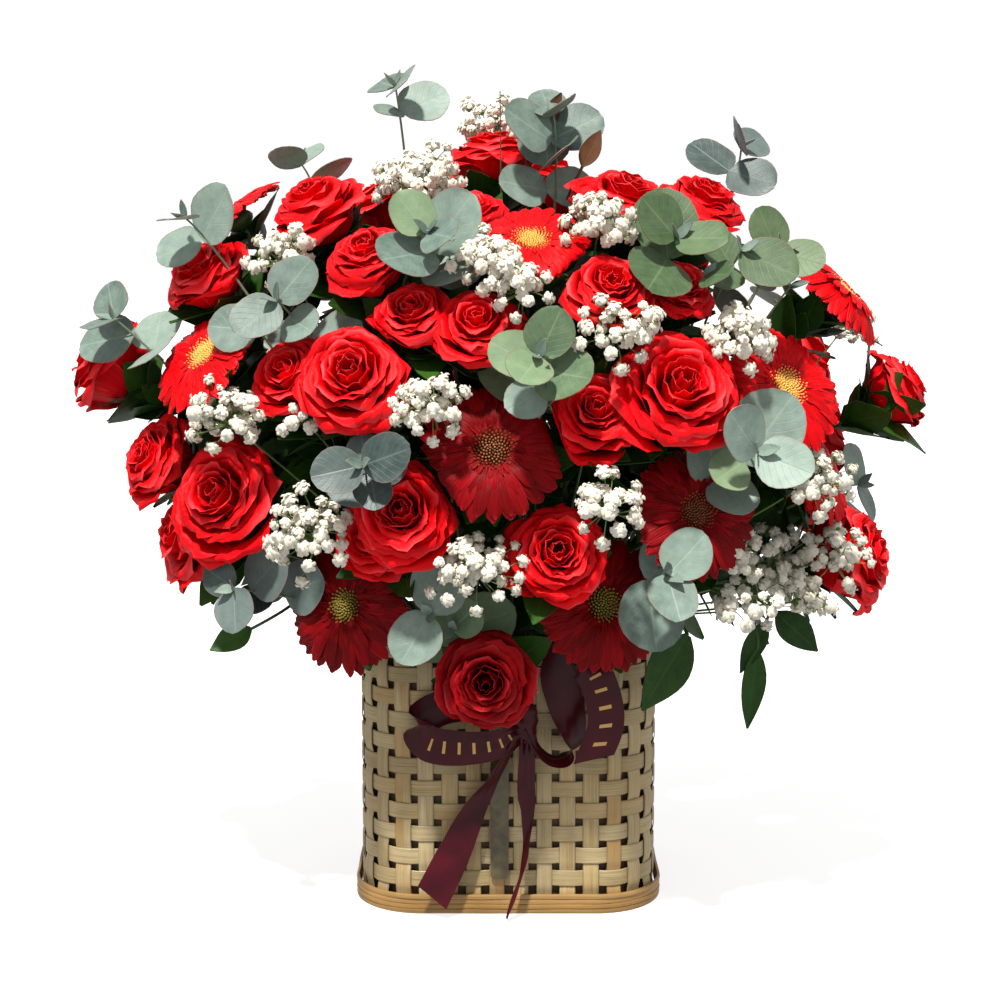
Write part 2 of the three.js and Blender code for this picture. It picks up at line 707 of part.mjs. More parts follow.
// Tapering rod along points
function rod(points, radii, sides) {
  const rings = [];
  let across = null;
  for (let i = 0; i < points.length; i += 1) {
    const before = points[Math.max(i - 1, 0)];
    const after = points[Math.min(i + 1, points.length - 1)];
    const along = after.clone().sub(before).normalize();
    if (!across) across = Math.abs(along.x) < 0.9 ? vector(1, 0, 0) : vector(0, 1, 0);
    across.addScaledVector(along, -across.dot(along)).normalize();
    const other = along.clone().cross(across);
    const ring = [];
    for (let k = 0; k < sides; k += 1) {
      const angle = k * 2 * Math.PI / sides;
      ring.push(points[i].clone()
        .addScaledVector(across, Math.cos(angle) * radii[i])
        .addScaledVector(other, Math.sin(angle) * radii[i]));
    }
    rings.push(ring);
  }
  return solidOf(skin(rings, points[0], points[points.length - 1]));
}

// Leaf as a cupped lens over its outline, from a base point on its twig
function leaf(base, direction, facing, length, width, thick, shape) {
  const along = direction.clone().normalize();
  const face = facing.clone().addScaledVector(along, -facing.dot(along)).normalize();
  const across = face.clone().cross(along);
  const point = (a, b, c) => base.clone()
    .addScaledVector(along, a * length).addScaledVector(across, b * width).addScaledVector(face, c);
  const lift = (a, b) => LEAF_CUP * length * (Math.abs(b) * 1.6 + (a > 0.9 ? 0.6 : 0));
  const ring = shape.map(([a, b]) => point(a, b, lift(a, b)));
  return solidOf(skin([ring], point(0.48, 0, -thick / 2), point(0.48, 0, thick / 2)));
}

// What a rod would cross, taken piece by piece between its points
function rodCrossing(points, radii, node) {
  let volume = 0;
  for (let i = 1; i < points.length; i += 1) {
    volume += crossing(rod([points[i - 1], points[i]], [radii[i - 1] + GAP, radii[i] + GAP], 4), node);
  }
  return volume;
}

// Tries a list of controls for the bend of a rod and returns the first that crosses nothing
function clearPath(start, end, arrival, steps, radius, node) {
  const side = frameAlong(vector(0, 0, 0), arrival);
  const first = vector(1, 0, 0).applyMatrix4(side);
  const second = vector(0, 1, 0).applyMatrix4(side);
  let best = null;
  for (const shift of PATH_SHIFTS) {
    for (const back of PATH_BACKS) {
      for (let turn = 0; turn < (shift ? 8 : 1); turn += 1) {
        const angle = turn * Math.PI / 4;
        const control = end.clone().addScaledVector(arrival, -back)
          .addScaledVector(first, Math.cos(angle) * shift).addScaledVector(second, Math.sin(angle) * shift);
        const points = curve(start, control, end, steps);
        const volume = rodCrossing(points, points.map(() => radius), node);
        if (!best || volume < best.volume - 1e-6) best = { points, volume };
        if (best.volume < 1e-6) return best;
      }
    }
  }
  for (const lift of PATH_HOOKS) {
    const out = end.clone().setZ(0).normalize();
    const points = curve(start, end.clone().addScaledVector(out, 8).setZ(end.z + lift), end, steps + 1);
    const volume = rodCrossing(points, points.map(() => radius), node);
    if (volume < best.volume - 1e-6) best = { points, volume };
  }
  return best;
}

// Stems with a swelling under each bloom, and a leaf beside it where there is room.
// A rose pressed against a mate of its own piece may have no room for a stem and then has none.
function flowerStems() {
  const rootAt = (height) => STEM_ROOT.clone().setZ(STEM_ROOT.z + height);
  const bundle = (extra) => rod(
    [rootAt(-BUNDLE_LENGTH - extra), rootAt(6), rootAt(16)],
    [6 + extra, STEM_KNOT + extra, 6 + extra], 6,
  );
  const parts = [bundle(0)];
  blooms.forEach((bloom, index) => {
    const reach = bloom.radius * (bloom.kind === 'rose' ? ROSE_FOOT : GERBERA_FOOT);
    const foot = bloom.centre.clone().addScaledVector(bloom.axis, reach);
    const below = (distance) => foot.clone().addScaledVector(bloom.axis, -distance);
    const path = clearPath(STEM_ROOT, below(8), bloom.axis, STEM_STEPS, STEM_RADIUS, 'flower_stems');
    const points = [...path.points, below(GAP)];
    const last = path.points.length - 1;
    const radii = [...path.points.map((point, i) => (i === last ? 3.4 : STEM_RADIUS)), 1.6];
    const stem = rod(points, radii, STEM_SIDES);
    if (path.volume > 1e-6 || crossing(stem, 'flower_stems') > 1e-6) return;
    parts.push(stem);
    for (let turn = 0; turn < 8 && index % STEM_LEAF_EVERY === 0; turn += 1) {
      const angle = (turn + pick(index)) * Math.PI / 4;
      const place = frameAlong(vector(0, 0, 0), bloom.axis);
      const side = vector(Math.cos(angle), Math.sin(angle), 0.9).applyMatrix4(place);
      const made = (thick) => leaf(
        below(12), side, bloom.axis, STEM_LEAF, STEM_LEAF * 0.62, thick, POINTED_LEAF,
      );
      if (crossing(made(LEAF_THICK + 2 * GAP), 'flower_stems') > 1e-6) continue;
      parts.push(made(LEAF_THICK));
      break;
    }
  });
  for (const [base, tip, width] of LONG_LEAVES) {
    const start = vector(...base);
    const along = vector(...tip).sub(start);
    const length = along.length();
    along.normalize();
    const arrival = along.clone().add(start.clone().sub(STEM_ROOT).normalize()).normalize();
    const path = clearPath(STEM_ROOT, start, arrival, STEM_STEPS + 1, 1.2, 'flower_stems');
    const facing = vector(start.x * 0.4, start.y, 40).normalize();
    const blade = leaf(start, along, facing, length, width, LEAF_THICK, POINTED_LEAF);
    if (path.volume + crossing(blade, 'flower_stems') > 1e-6) continue;
    parts.push(rod(path.points, path.points.map(() => 1.2), 3), blade);
  }
  for (const tip of DRY_TIPS) {
    const end = vector(...tip);
    const path = clearPath(STEM_ROOT, end, vector(0, -0.1, 1).normalize(), STEM_STEPS + 1, 1, 'flower_stems');
    if (path.volume > 1e-6) continue;
    const radii = path.points.map((point, i) => (i === path.points.length - 1 ? 0.5 : 1));
    parts.push(rod(path.points, radii, 3));
  }
  return { solid: joined(parts), hole: bundle(2 * GAP) };
}

// Foot of a row in the foam, on the side to which its tips lean
function footOf(rows, turn) {
  const lean = rows.reduce((sum, row) => sum.add(vector(row[0], row[1], 0)), vector(0, 0, 0)).normalize();
  lean.applyAxisAngle(vector(0, 0, 1), turn);
  return vector(lean.x * FOOT_SPREAD[0], lean.y * FOOT_SPREAD[1], PEG_TOP);
}

// Peg on which the twigs of a row stand in the foam
function peg(foot, extra) {
  const low = foot.clone().setZ(PEG_TOP - PEG_LENGTH - extra);
  return rod([low, foot.clone().setZ(foot.z + 2)], [PEG_RADIUS * 0.6 + extra, PEG_RADIUS + extra], 4);
}

// True where a path's own rod, without any room around it, still crosses something
function blocked(path, radius, node) {
  if (path.volume < 1e-6) return false;
  return crossing(rod(path.points, path.points.map(() => radius), 3), node) > 1e-6;
}

// Foot that gives every rod of a row a clear path, or the fewest crossings
function rooted(rows, steps, radius, node) {
  let best = null;
  for (const turn of FOOT_TURNS) {
    const foot = footOf(rows, turn);
    const paths = rows.map((row) => {
      const tip = vector(row[0], row[1], row[2]);
      const axis = axisOf(row[0], row[1], row[2], row[row.length - 1]);
      return { ...clearPath(foot, tip, axis, steps, radius, node), axis, tip, row };
    });
    const volume = paths.reduce((sum, path) => sum + path.volume, crossing(peg(foot, 2 * GAP), node) * 10);
    if (!best || volume < best.volume) best = { foot, paths, volume };
    if (volume < 1e-6) break;
  }
  return best;
}

function eucalyptus(rows, node) {
  const { foot, paths } = rooted(rows, TWIG_STEPS, TWIG_RADIUS, node);
  const parts = [peg(foot, 0)];
  const placed = [];
  let leaves = 0;
  paths.forEach((path, index) => {
    if (blocked(path, TWIG_RADIUS, node)) return;
    const radii = path.points.map((point, i) => TWIG_RADIUS * (1 - 0.45 * i / path.points.length));
    parts.push(rod(path.points, radii, 3));
    const [, , , length, pairs] = path.row;
    const place = frameAlong(vector(0, 0, 0), path.axis);
    for (let pair = 0; pair < pairs; pair += 1) {
      const base = path.tip.clone().addScaledVector(path.axis, -2 - pair * PAIR_STEP);
      const size = length * (0.78 + 0.22 * Math.min(pair, 1)) * (0.9 + 0.2 * pick(pair + index * 7 + leaves));
      for (const hand of [0, 1]) {
        let done = false;
        for (const tilt of LEAF_TILTS) {
          for (const roll of LEAF_ROLLS) {
            if (done) continue;
            const angle = hand * Math.PI + pair * 1.57 + roll + pick(index + 3) * 3;
            const out = vector(Math.cos(angle), Math.sin(angle), Math.tan(tilt));
            out.applyMatrix4(place).normalize();
            const test = leaf(
              base, out, path.axis, size + GAP, size * 0.96, LEAF_THICK + 2 * GAP, ROUND_LEAF,
            );
            const made = leaf(base, out, path.axis, size, size * 0.94, LEAF_THICK, ROUND_LEAF);
            if (crossing(test, node) > 1e-6) continue;
            if (placed.some((other) => made.intersect(other).volume() > 1.5)) continue;
            parts.push(made);
            placed.push(made);
            leaves += 1;
            done = true;
          }
        }
      }
    }
  });
  return { solid: joined(parts), hole: peg(foot, GAP) };
}

// Corners of a floret on its stalk: three at the foot, three at its widest, and its tip
function floretPoints(foot, middle, direction, length, radius) {
  const wide = foot.map((point) => {
    const arm = point.clone().sub(middle);
    arm.addScaledVector(direction, -arm.dot(direction)).normalize();
    return middle.clone().addScaledVector(direction, length - radius * 0.9).addScaledVector(arm, radius);
  });
  return { wide, tip: middle.clone().addScaledVector(direction, length) };
}

// Moves the middle of a head outwards until its core has room; false where it finds none
function seatHead(path, node) {
  const step = path.axis.clone().multiplyScalar(HEAD_STEP);
  for (let i = 0; i < HEAD_STEPS; i += 1) {
    const test = new THREE.IcosahedronGeometry(CORE_RADIUS + GAP, 0);
    test.translate(path.tip.x, path.tip.y, path.tip.z);
    const from = path.points[path.points.length - 1];
    const reach = i ? rodCrossing([from, path.tip], [SPRAY_RADIUS, SPRAY_RADIUS], node) : 0;
    if (crossing(solidOf(test), node) + reach < 1e-6) {
      if (i) path.points.push(path.tip.clone());
      return true;
    }
    path.tip.add(step);
  }
  return false;
}

// Head of baby's breath: a floret stands on each face of a small core where there is room
function breathHead(path, index, node) {
  const core = new THREE.IcosahedronGeometry(CORE_RADIUS, 0);
  core.applyMatrix4(frameAlong(path.tip, path.axis, index));
  const corner = (i) => new THREE.Vector3().fromBufferAttribute(core.attributes.position, i);
  const lean = path.tip.y > 0 ? FLORET_LEAN_BACK : FLORET_LEAN;
  const points = [];
  for (let face = 0; face < 20; face += 1) {
    const foot = [corner(face * 3), corner(face * 3 + 1), corner(face * 3 + 2)];
    const direction = foot[0].clone().add(foot[1]).add(foot[2]).divideScalar(3).sub(path.tip);
    direction.normalize();
    const add = (...list) => points.push(...list.flatMap((point) => [point.x, point.y, point.z]));
    let length = 0;
    for (const shrink of FLORET_SHRINKS) {
      if (length || direction.dot(path.axis) < lean) continue;
      const reach = path.row[3] * shrink * (0.78 + 0.34 * pick(face + index * 20));
      const grown = floretPoints(foot, path.tip, direction, reach + GAP, FLORET_RADIUS + 2 * GAP);
      if (crossing(solidOf(skin([foot, grown.wide], path.tip, grown.tip)), node) < 1e-6) length = reach;
    }
    if (!length) {
      add(...foot);
      continue;
    }
    const { wide, tip } = floretPoints(foot, path.tip, direction, length, FLORET_RADIUS);
    for (let i = 0; i < 3; i += 1) {
      const next = (i + 1) % 3;
      add(foot[i], foot[next], wide[next]);
      add(foot[i], wide[next], wide[i]);
      add(wide[i], wide[next], tip);
    }
  }
  const geometry = new THREE.BufferGeometry();
  geometry.setAttribute('position', new THREE.Float32BufferAttribute(points, 3));
  return solidOf(geometry);
}

function babyBreath(rows, node) {
  const { foot, paths } = rooted(rows, TWIG_STEPS, SPRAY_RADIUS, node);
  const parts = [peg(foot, 0)];
  paths.forEach((path, index) => {
    if (blocked(path, SPRAY_RADIUS, node)) return;
    if (!seatHead(path, node)) return;
    parts.push(rod(path.points, path.points.map(() => SPRAY_RADIUS), 3));
    parts.push(breathHead(path, index, node));
  });
  return { solid: joined(parts), hole: peg(foot, GAP) };
}

const holes = [];

function plant(name, made, colour, roughness) {
  keepClearOf(made.solid, name);
  holes.push(made.hole);
  addPiece(name, made.solid, colour, roughness);
}

plant('flower_stems', flowerStems(), COLOURS.stem, 0.6);
EUCALYPTUS.forEach((rows, i) => {
  const name = `eucalyptus_${i + 1}`;
  plant(name, eucalyptus(rows, name), COLOURS.eucalyptus, 0.7);
});
BREATH.forEach((rows, i) => {
  const name = `baby_breath_${i + 1}`;
  plant(name, babyBreath(rows, name), COLOURS.breath, 0.8);
});

// Foam last, with a plain hole for everything that stands in it
const block = foam();
const bored = holes.reduce((rest, hole) => rest.subtract(hole), block);
addPiece('floral_foam', joined([bored]), COLOURS.foam, 0.95);

export default arrangement;
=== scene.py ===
import json
import math

import bpy
import numpy as np
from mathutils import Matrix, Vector
from mathutils.bvhtree import BVHTree
from mathutils.kdtree import KDTree

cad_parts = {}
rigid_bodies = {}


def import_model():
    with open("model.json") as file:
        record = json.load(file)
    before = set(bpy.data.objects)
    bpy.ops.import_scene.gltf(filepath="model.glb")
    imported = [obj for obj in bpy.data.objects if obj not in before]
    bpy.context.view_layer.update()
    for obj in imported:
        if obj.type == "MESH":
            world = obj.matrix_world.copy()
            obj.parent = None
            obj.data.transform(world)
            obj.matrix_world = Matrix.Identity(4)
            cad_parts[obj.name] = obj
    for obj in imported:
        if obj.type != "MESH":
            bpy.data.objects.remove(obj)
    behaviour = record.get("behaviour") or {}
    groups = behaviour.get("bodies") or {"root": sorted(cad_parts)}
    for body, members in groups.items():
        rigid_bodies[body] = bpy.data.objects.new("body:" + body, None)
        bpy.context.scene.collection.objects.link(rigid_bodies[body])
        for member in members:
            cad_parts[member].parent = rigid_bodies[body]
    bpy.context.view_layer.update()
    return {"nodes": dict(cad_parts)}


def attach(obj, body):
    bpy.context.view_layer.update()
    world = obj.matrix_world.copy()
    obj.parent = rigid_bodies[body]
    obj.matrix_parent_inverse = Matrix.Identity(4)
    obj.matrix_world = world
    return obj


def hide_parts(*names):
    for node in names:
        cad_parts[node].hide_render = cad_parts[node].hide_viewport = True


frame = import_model()

# Millimetres in a metre's frame: every table below is in millimetres, as the solids are
MM = 0.001
TAU = 2 * math.pi
GAP = 0.3
GOLDEN_TURN = 2.39996

# Where each kind of piece starts its random draws
SEEDS = {
    "rose": 100, "gerbera": 500, "stems": 900, "eucalyptus": 1200, "breath": 1500, "florets": 77,
    "stakes": 40, "weavers": 41, "foot_cane": 43, "rim_cane": 44, "ribbon": 60,
}

# Camera: where the photographer stood
CAMERA_PLACE = (-0.006, -1.42, 0.487)
CAMERA_PITCH = math.radians(8.3)
CAMERA_LENS = 71.68
CAMERA_REACH = 50

# Basket, a rounded rectangle in plan
BASKET_HALF_WIDTH = 103.5
BASKET_HALF_DEPTH = 80
BASKET_CORNER = 44
FLOOR_THICK = 4
BAND_LOW = 0.2
BAND_HEIGHT = 14
BAND_STRANDS = 4
BAND_INNER = 3.5
BAND_OUTER = 5.8
RIM_HALF = 2.6
RIM_BOTTOM = 180.6
RIM_TOP = 191

# Fine weave: strips of split bamboo, one up, one down
WEAVE_STAKES = 40
WEAVE_ROWS = 10
WEAVE_PITCH = 16.2
WEAVE_FIRST = 24
STRIP_WIDTH = 11.2
STRIP_THICK = 0.8
STRIP_SWING = 0.62
STAKE_LOW = 2.5
STAKE_HIGH = 181.5
STAKE_STEP = 2.7

# Stems and twigs
FRONT = np.array([0, -1, 0.2])
STEM_ROOT = np.array([0, 0, 190.0])
STEM_RADIUS = 1.7
STEM_KNOT = 15
BUNDLE_LENGTH = 60
PATH_SHIFTS = [0, 15, 30, 45]
PATH_BACKS = [45, 25, 75, 110]
PATH_HOOKS = [40, 60, 85]
PEG_LENGTH = 26
PEG_RADIUS = 3.2
PEG_TOP = 192
FOOT_SPREAD = [60, 44]
FOOT_TURNS = [0, 0.25, -0.25, 0.5, -0.5, 0.8, -0.8, 1.1, -1.1]
TWIG_RADIUS = 1.4
SPRAY_RADIUS = 1.1
TWIG_STEPS = 4
PAIR_STEP = 17
LEAF_CUP = 0.05
LEAF_ROLLS = [0, 0.6, -0.6, 1.2]
LEAF_TILTS = [0.5, 0.15, 0.95]
NECK_LENGTH = 8
NECK_SOLID = [3.4, 1.6]
NECK_FINE = [2.1, 2.8, 2.6]
LEAF_THICK = 0.5
LEAF_HITS = 3
DRY_ABOVE = 500
STEM_LEAF = 44
STEM_LEAF_SHARE = 0.62
ROUND_SHARE = 0.94
STEM_LEAF_EVERY = 4
HEAD_STEP = 5
HEAD_STEPS = 7
CORE_RADIUS = 3.6
FLORET_RADIUS = 4.2
FLORET_SHRINKS = [1, 0.75, 0.55]

# Front blooms: x, y, z of the middle, diameter, and how far it turns to the front.
# Roses in one row of the list are pressed together and make one piece.
FRONT_ROSES = [
    [[-278, -20, 378, 58, 0]],
    [[-240, -60, 316, 62, 0.4]],
    [[-178, -116, 305, 82, 1], [-222, -50, 258, 62, 0.2]],
    [[-132, -40, 486, 66, 0.3]],
    [[-203, -65, 440, 60, 0.3]],
    [[-93, -158, 380, 72, 1], [-145, -125, 378, 58, 0.5]],
    [[-90, -118, 453, 60, 0.3]],
    [[-62, -140, 418, 52, 0.5], [-20, -152, 411, 60, 0.5]],
    [[-60, -160, 299, 68, 1], [-88, -125, 270, 58, 0.5]],
    [[-11, -10, 520, 62, 0]],
    [[52, -138, 440, 60, 0.5]],
    [[132, -40, 488, 58, 0.2]],
    [[102, -155, 370, 82, 1], [46, -158, 354, 60, 0.8]],
    [[30, -152, 267, 66, 1]],
    [[-15, -124, 176, 64, 3]],
    [[272, -20, 361, 48, 0]],
    [[240, -40, 245, 72, 0.2]],
    [[-14, -95, 475, 52, 0.2]],
    [[77, -75, 486, 74, 0.1]],
    [[108, -118, 434, 48, 0.3]],
]
FRONT_GERBERAS = [
    [-199, -95, 393, 86, 0.3], [14, -118, 462, 78, 0.3], [180, -112, 369, 88, 0.6],
    [226, -50, 430, 78, 0], [-4, -160, 335, 92, 1], [-108, -95, 221, 88, 0.8],
    [62, -115, 226, 88, 0.8], [120, -135, 290, 84, 0.8], [205, -75, 312, 80, 0.2],
    [-189, -25, 482, 76, 0],
]
BACK_ROSES = [
    [[-75, 150, 372, 78, 0], [-60, 145, 298, 76, 0], [-130, 112, 258, 78, 0], [-150, 120, 330, 78, 0]],
    [[78, 150, 376, 78, 0], [62, 145, 302, 76, 0], [130, 110, 262, 78, 0], [155, 118, 335, 78, 0]],
    [
        [-125, 105, 430, 76, 0], [-100, 45, 495, 76, 0], [-40, 75, 500, 76, 0],
        [35, 70, 505, 76, 0], [100, 45, 500, 76, 0], [125, 100, 440, 76, 0],
    ],
    [[-215, 40, 260, 74, 0], [-225, 40, 320, 70, 0], [-210, 50, 385, 72, 0], [-195, 20, 445, 66, 0]],
    [[215, 45, 270, 74, 0], [228, 45, 330, 72, 0], [210, 60, 390, 72, 0]],
]
BACK_GERBERAS = [[0, 152, 430, 90, 0], [0, 130, 235, 90, 0]]

# Rows of sprigs on one foot: x, y, z of a tip, leaf length, pairs of leaves, turn to the front
EUCALYPTUS = [
    [[-215, -88, 482, 40, 3, 0.2], [-78, -30, 572, 38, 2, 0], [-150, -138, 430, 42, 3, 0.5]],
    [
        [-268, -70, 415, 40, 4, 0.1], [-184, -118, 238, 42, 3, 0.6],
        [-150, 40, 520, 40, 2, 0], [-92, -190, 330, 42, 3, 0.8],
    ],
    [[-52, -150, 474, 42, 3, 0.6], [30, -45, 552, 38, 3, 0], [18, -190, 398, 42, 4, 0.8]],
    [[108, -130, 470, 46, 2, 0.3], [178, -100, 460, 44, 4, 0.3], [160, -30, 530, 38, 2, 0]],
    [
        [158, -165, 335, 50, 3, 0.6], [102, -160, 255, 48, 2, 0.8],
        [255, 10, 290, 42, 2, 0], [-38, -128, 212, 40, 3, 0.7],
    ],
    [
        [-105, 165, 412, 44, 2, 0], [0, 195, 350, 44, 3, 0],
        [100, 165, 420, 44, 2, 0], [10, 120, 500, 42, 2, 0],
    ],
    [
        [-212, 105, 300, 42, 3, 0], [190, 90, 430, 44, 2, 0],
        [205, 110, 285, 44, 3, 0], [-180, 80, 440, 44, 2, 0],
    ],
]
# Dark leaves on stems of their own: base, tip, and width
LONG_LEAVES = [
    [[170, -62, 204], [213, -66, 190], 25], [[162, -70, 196], [165, -74, 130], 18],
    [[122, -90, 200], [90, -100, 150], 34], [[-190, -78, 215], [-222, -84, 188], 22],
    [[-60, 120, 210], [-80, 140, 160], 26], [[60, 118, 212], [84, 138, 165], 26],
    [[24, -20, 538], [32, -24, 566], 13],
]
# Leaves of the picture with a free twig: start of the twig, base, tip, width, kind
LOOSE_LEAVES = [
    [[140, -40, 224], [184, -74, 212], [213, -78, 186], 24, "green"],
    [[140, -44, 224], [172, -74, 186], [165, -80, 132], 18, "green"],
    [[140, -40, 222], [178, -70, 205], [160, -76, 170], 16, "green"],
    [[-150, -40, 214], [-178, -70, 200], [-206, -76, 186], 20, "green"],
    [[12, -24, 500], [24, -30, 540], [36, -36, 566], 14, "dry"],
    [[40, -30, 490], [50, -50, 516], [62, -56, 540], 15, "dry"],
]
DRY_TIPS = [[-6, -52, 566], [4, -30, 560]]
# Rows of heads of baby's breath on one foot: x, y, z, radius, turn to the front
BREATH = [
    [[-58, -72, 500, 30, 0.3], [-12, -148, 452, 24, 0.6], [-148, -98, 452, 26, 0.4]],
    [[58, -122, 474, 26, 0.5], [8, -158, 436, 24, 0.8], [66, -165, 408, 30, 0.8], [146, -138, 402, 28, 0.6]],
    [[-182, -128, 348, 28, 0.5], [-124, -150, 278, 34, 0.8], [-48, -178, 362, 26, 1]],
    [[-20, -160, 254, 32, 1], [62, -178, 300, 26, 1], [198, -112, 308, 30, 0.5]],
    [[222, -78, 250, 30, 0.4], [176, -70, 236, 36, 0.5], [240, 20, 400, 26, 0]],
    [[-60, 170, 415, 30, 0], [10, 165, 300, 32, 0], [50, 165, 420, 30, 0], [-10, 40, 535, 28, 0]],
]
ROUND_LEAF = [[0, 0], [0.3, -0.46], [0.78, -0.42], [1, 0], [0.78, 0.42], [0.3, 0.46]]
POINTED_LEAF = [[0, 0], [0.25, -0.42], [0.6, -0.45], [1, 0], [0.6, 0.45], [0.25, 0.42]]

# Eye of each front gerbera: golden, dark or green
EYES = ["golden", "golden", "golden", "golden", "dark", "green", "green", "dark", "golden", "dark"]
# Blooms that get a darker copy of their petal material: painted shade for blooms that lie in shade
SHADED_NODES = ["gerbera_05", "gerbera_06", "gerbera_07", "gerbera_08", "rose_15"]


def vec(*values):
    """Array of three, or two, numbers"""
    return np.array(values, dtype=float)


def unit(vector):
    """Vector of length one"""
    return vector / max(math.sqrt(float(vector @ vector)), 1e-12)


def pick(number):
    """A steady pick between 0 and 1 for each whole number"""
    value = math.sin(number * 12.9898 + 4.1) * 43758.5453
    return value - math.floor(value)


def frame_along(axis, turn=0.0):
    """Rows: two directions across the axis, and the axis"""
    helper = vec(0, 0, 1) if abs(axis[2]) < 0.9 else vec(0, 1, 0)
    side = unit(np.cross(helper, axis))
    up = unit(np.cross(axis, side))
    first = side * math.cos(turn) + up * math.sin(turn)
    return np.array([first, unit(np.cross(axis, first)), axis])


def axis_of(x, y, z, turn):
    """Direction in which a bloom at this place looks"""
    return unit(unit(vec(x, y, z) - STEM_ROOT) + FRONT * turn)


# Angle in degrees above which an edge is sharp, by material slot
CREASES = {
    "bamboo": 35, "stem": 50, "eucalyptus": 50, "rose": 60, "gerbera": 60, "cane": 60, "ribbon": 60,
    "baby_breath": 80,
}


class Pile:
    """Faces gathered for one piece; a mark on each point tells across, along and tone"""

    def __init__(self, *materials):
        self.materials = materials
        self.points = []
        self.marks = []
        self.faces = []
        self.slots = []
        self.count = 0

    def add(self, points, faces, material, marks):
        """Puts one body in, with blocks of faces that have as many corners each"""
        self.points.append(points)
        self.marks.append(marks)
        for block in faces:
            self.faces.append(block + self.count)
            self.slots.append(np.full(len(block), self.materials.index(material)))
        self.count += len(points)

    def make(self, name, slot, nodes):
        """Mesh of all that was put in, which stands for its nodes"""
        points = np.concatenate(self.points) * MM
        mesh = bpy.data.meshes.new(name)
        mesh.vertices.add(len(points))
        mesh.vertices.foreach_set("co", points.astype(np.float32).ravel())
        sizes = np.concatenate([np.full(len(block), block.shape[1]) for block in self.faces])
        corners = np.concatenate([block.ravel() for block in self.faces])
        mesh.loops.add(len(corners))
        mesh.loops.foreach_set("vertex_index", corners.astype(np.int32))
        mesh.polygons.add(len(sizes))
        starts = np.concatenate([[0], np.cumsum(sizes)[:-1]])
        mesh.polygons.foreach_set("loop_start", starts.astype(np.int32))
        mesh.polygons.foreach_set("material_index", np.concatenate(self.slots).astype(np.int32))
        mesh.update(calc_edges=True)
        mark = mesh.attributes.new("mark", "FLOAT_VECTOR", "POINT")
        mark.data.foreach_set("vector", np.concatenate(self.marks).astype(np.float32).ravel())
        for material in self.materials:
            mesh.materials.append(material)
        mesh.shade_smooth()
        mesh.set_sharp_from_angle(angle=math.radians(CREASES[slot]))
        piece = bpy.data.objects.new(name, mesh)
        bpy.context.scene.collection.objects.link(piece)
        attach(piece, "root")
        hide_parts(*nodes)
        return piece


SHELL_FACES = {}


def shell_faces(rows, cols, backed):
    """Faces of a thin shell over a grid: front, rim, and a back unless other petals cover it"""
    if (rows, cols, backed) not in SHELL_FACES:
        at = np.arange(rows * cols).reshape(rows, cols)
        front = np.stack([at[:-1, :-1], at[:-1, 1:], at[1:, 1:], at[1:, :-1]], axis=-1).reshape(-1, 4)
        back = front[:, ::-1] + rows * cols
        loop = np.concatenate([at[0, :-1], at[:-1, -1], at[-1, :0:-1], at[:0:-1, 0]])
        after = np.roll(loop, -1)
        rim = np.stack([after, loop, loop + rows * cols, after + rows * cols], axis=-1)
        SHELL_FACES[rows, cols, backed] = np.concatenate([front, rim, back] if backed else [front, rim])
    return SHELL_FACES[rows, cols, backed]


def shell(pile, grid, thick, material, marks, backed=True):
    """Closes a grid of points to a shell; marks is one mark for each point of the grid"""
    rows, cols = grid.shape[:2]
    normal = np.cross(np.gradient(grid, axis=1), np.gradient(grid, axis=0))
    length = np.linalg.norm(normal, axis=2, keepdims=True)
    back = grid - normal / np.maximum(length, 1e-9) * thick
    points = np.concatenate([grid.reshape(-1, 3), back.reshape(-1, 3)])
    flat = marks.reshape(-1, 3)
    pile.add(points, [shell_faces(rows, cols, backed)], material, np.concatenate([flat, flat]))


def grid_marks(across, along, tone):
    """A mark for each point of a grid"""
    across, along = np.broadcast_arrays(across, along)
    return np.stack([across, along, np.full(across.shape, tone)], axis=-1)


def rod_rings(points, radii, sides):
    """Rings of a rod along points, each ring a set of corners"""
    rings = []
    across = None
    for i, point in enumerate(points):
        along = unit(points[min(i + 1, len(points) - 1)] - points[max(i - 1, 0)])
        if across is None:
            across = vec(1, 0, 0) if abs(along[0]) < 0.9 else vec(0, 1, 0)
        across = unit(across - along * float(across @ along))
        other = np.cross(along, across)
        angles = np.arange(sides) * TAU / sides
        ring = np.outer(np.cos(angles), across) + np.outer(np.sin(angles), other)
        rings.append(point + ring * radii[i])
    return np.array(rings)


def ring_faces(count, sides):
    """Faces of a closed body of rings whose last two points are the middles of its ends"""
    at = np.arange(count * sides).reshape(count, sides)
    after = np.roll(at, -1, axis=1)
    wall = np.stack([at[:-1], after[:-1], after[1:], at[1:]], axis=-1).reshape(-1, 4)
    middle = np.full(sides, count * sides)
    foot = np.stack([middle, after[0], at[0]], axis=-1)
    head = np.stack([middle + 1, at[-1], after[-1]], axis=-1)
    return [wall, np.concatenate([foot, head])]


def tube(pile, points, radii, sides, material, tone=0.5):
    """Closed tube along points"""
    rings = rod_rings(points, radii, sides)
    count = len(rings)
    body = np.concatenate([rings.reshape(-1, 3), [points[0], points[-1]]])
    steps = np.linalg.norm(np.diff(points, axis=0), axis=1)
    along = np.concatenate([[0], np.cumsum(steps)])
    marks = np.zeros((len(body), 3))
    marks[:-2, 0] = np.tile(np.cos(np.arange(sides) * TAU / sides), count)
    marks[:-2, 1] = np.repeat(along, sides) * MM
    marks[-1, 1] = along[-1] * MM
    marks[:, 2] = tone
    pile.add(body, ring_faces(count, sides), material, marks)


def bend(start, control, end, steps):
    """Points of a curve with one control point"""
    t = np.linspace(0, 1, steps + 1)[:, None]
    return (1 - t) ** 2 * start + 2 * t * (1 - t) * control + t * t * end


# Materials: sums over values or other nodes' outputs, then what is made of them

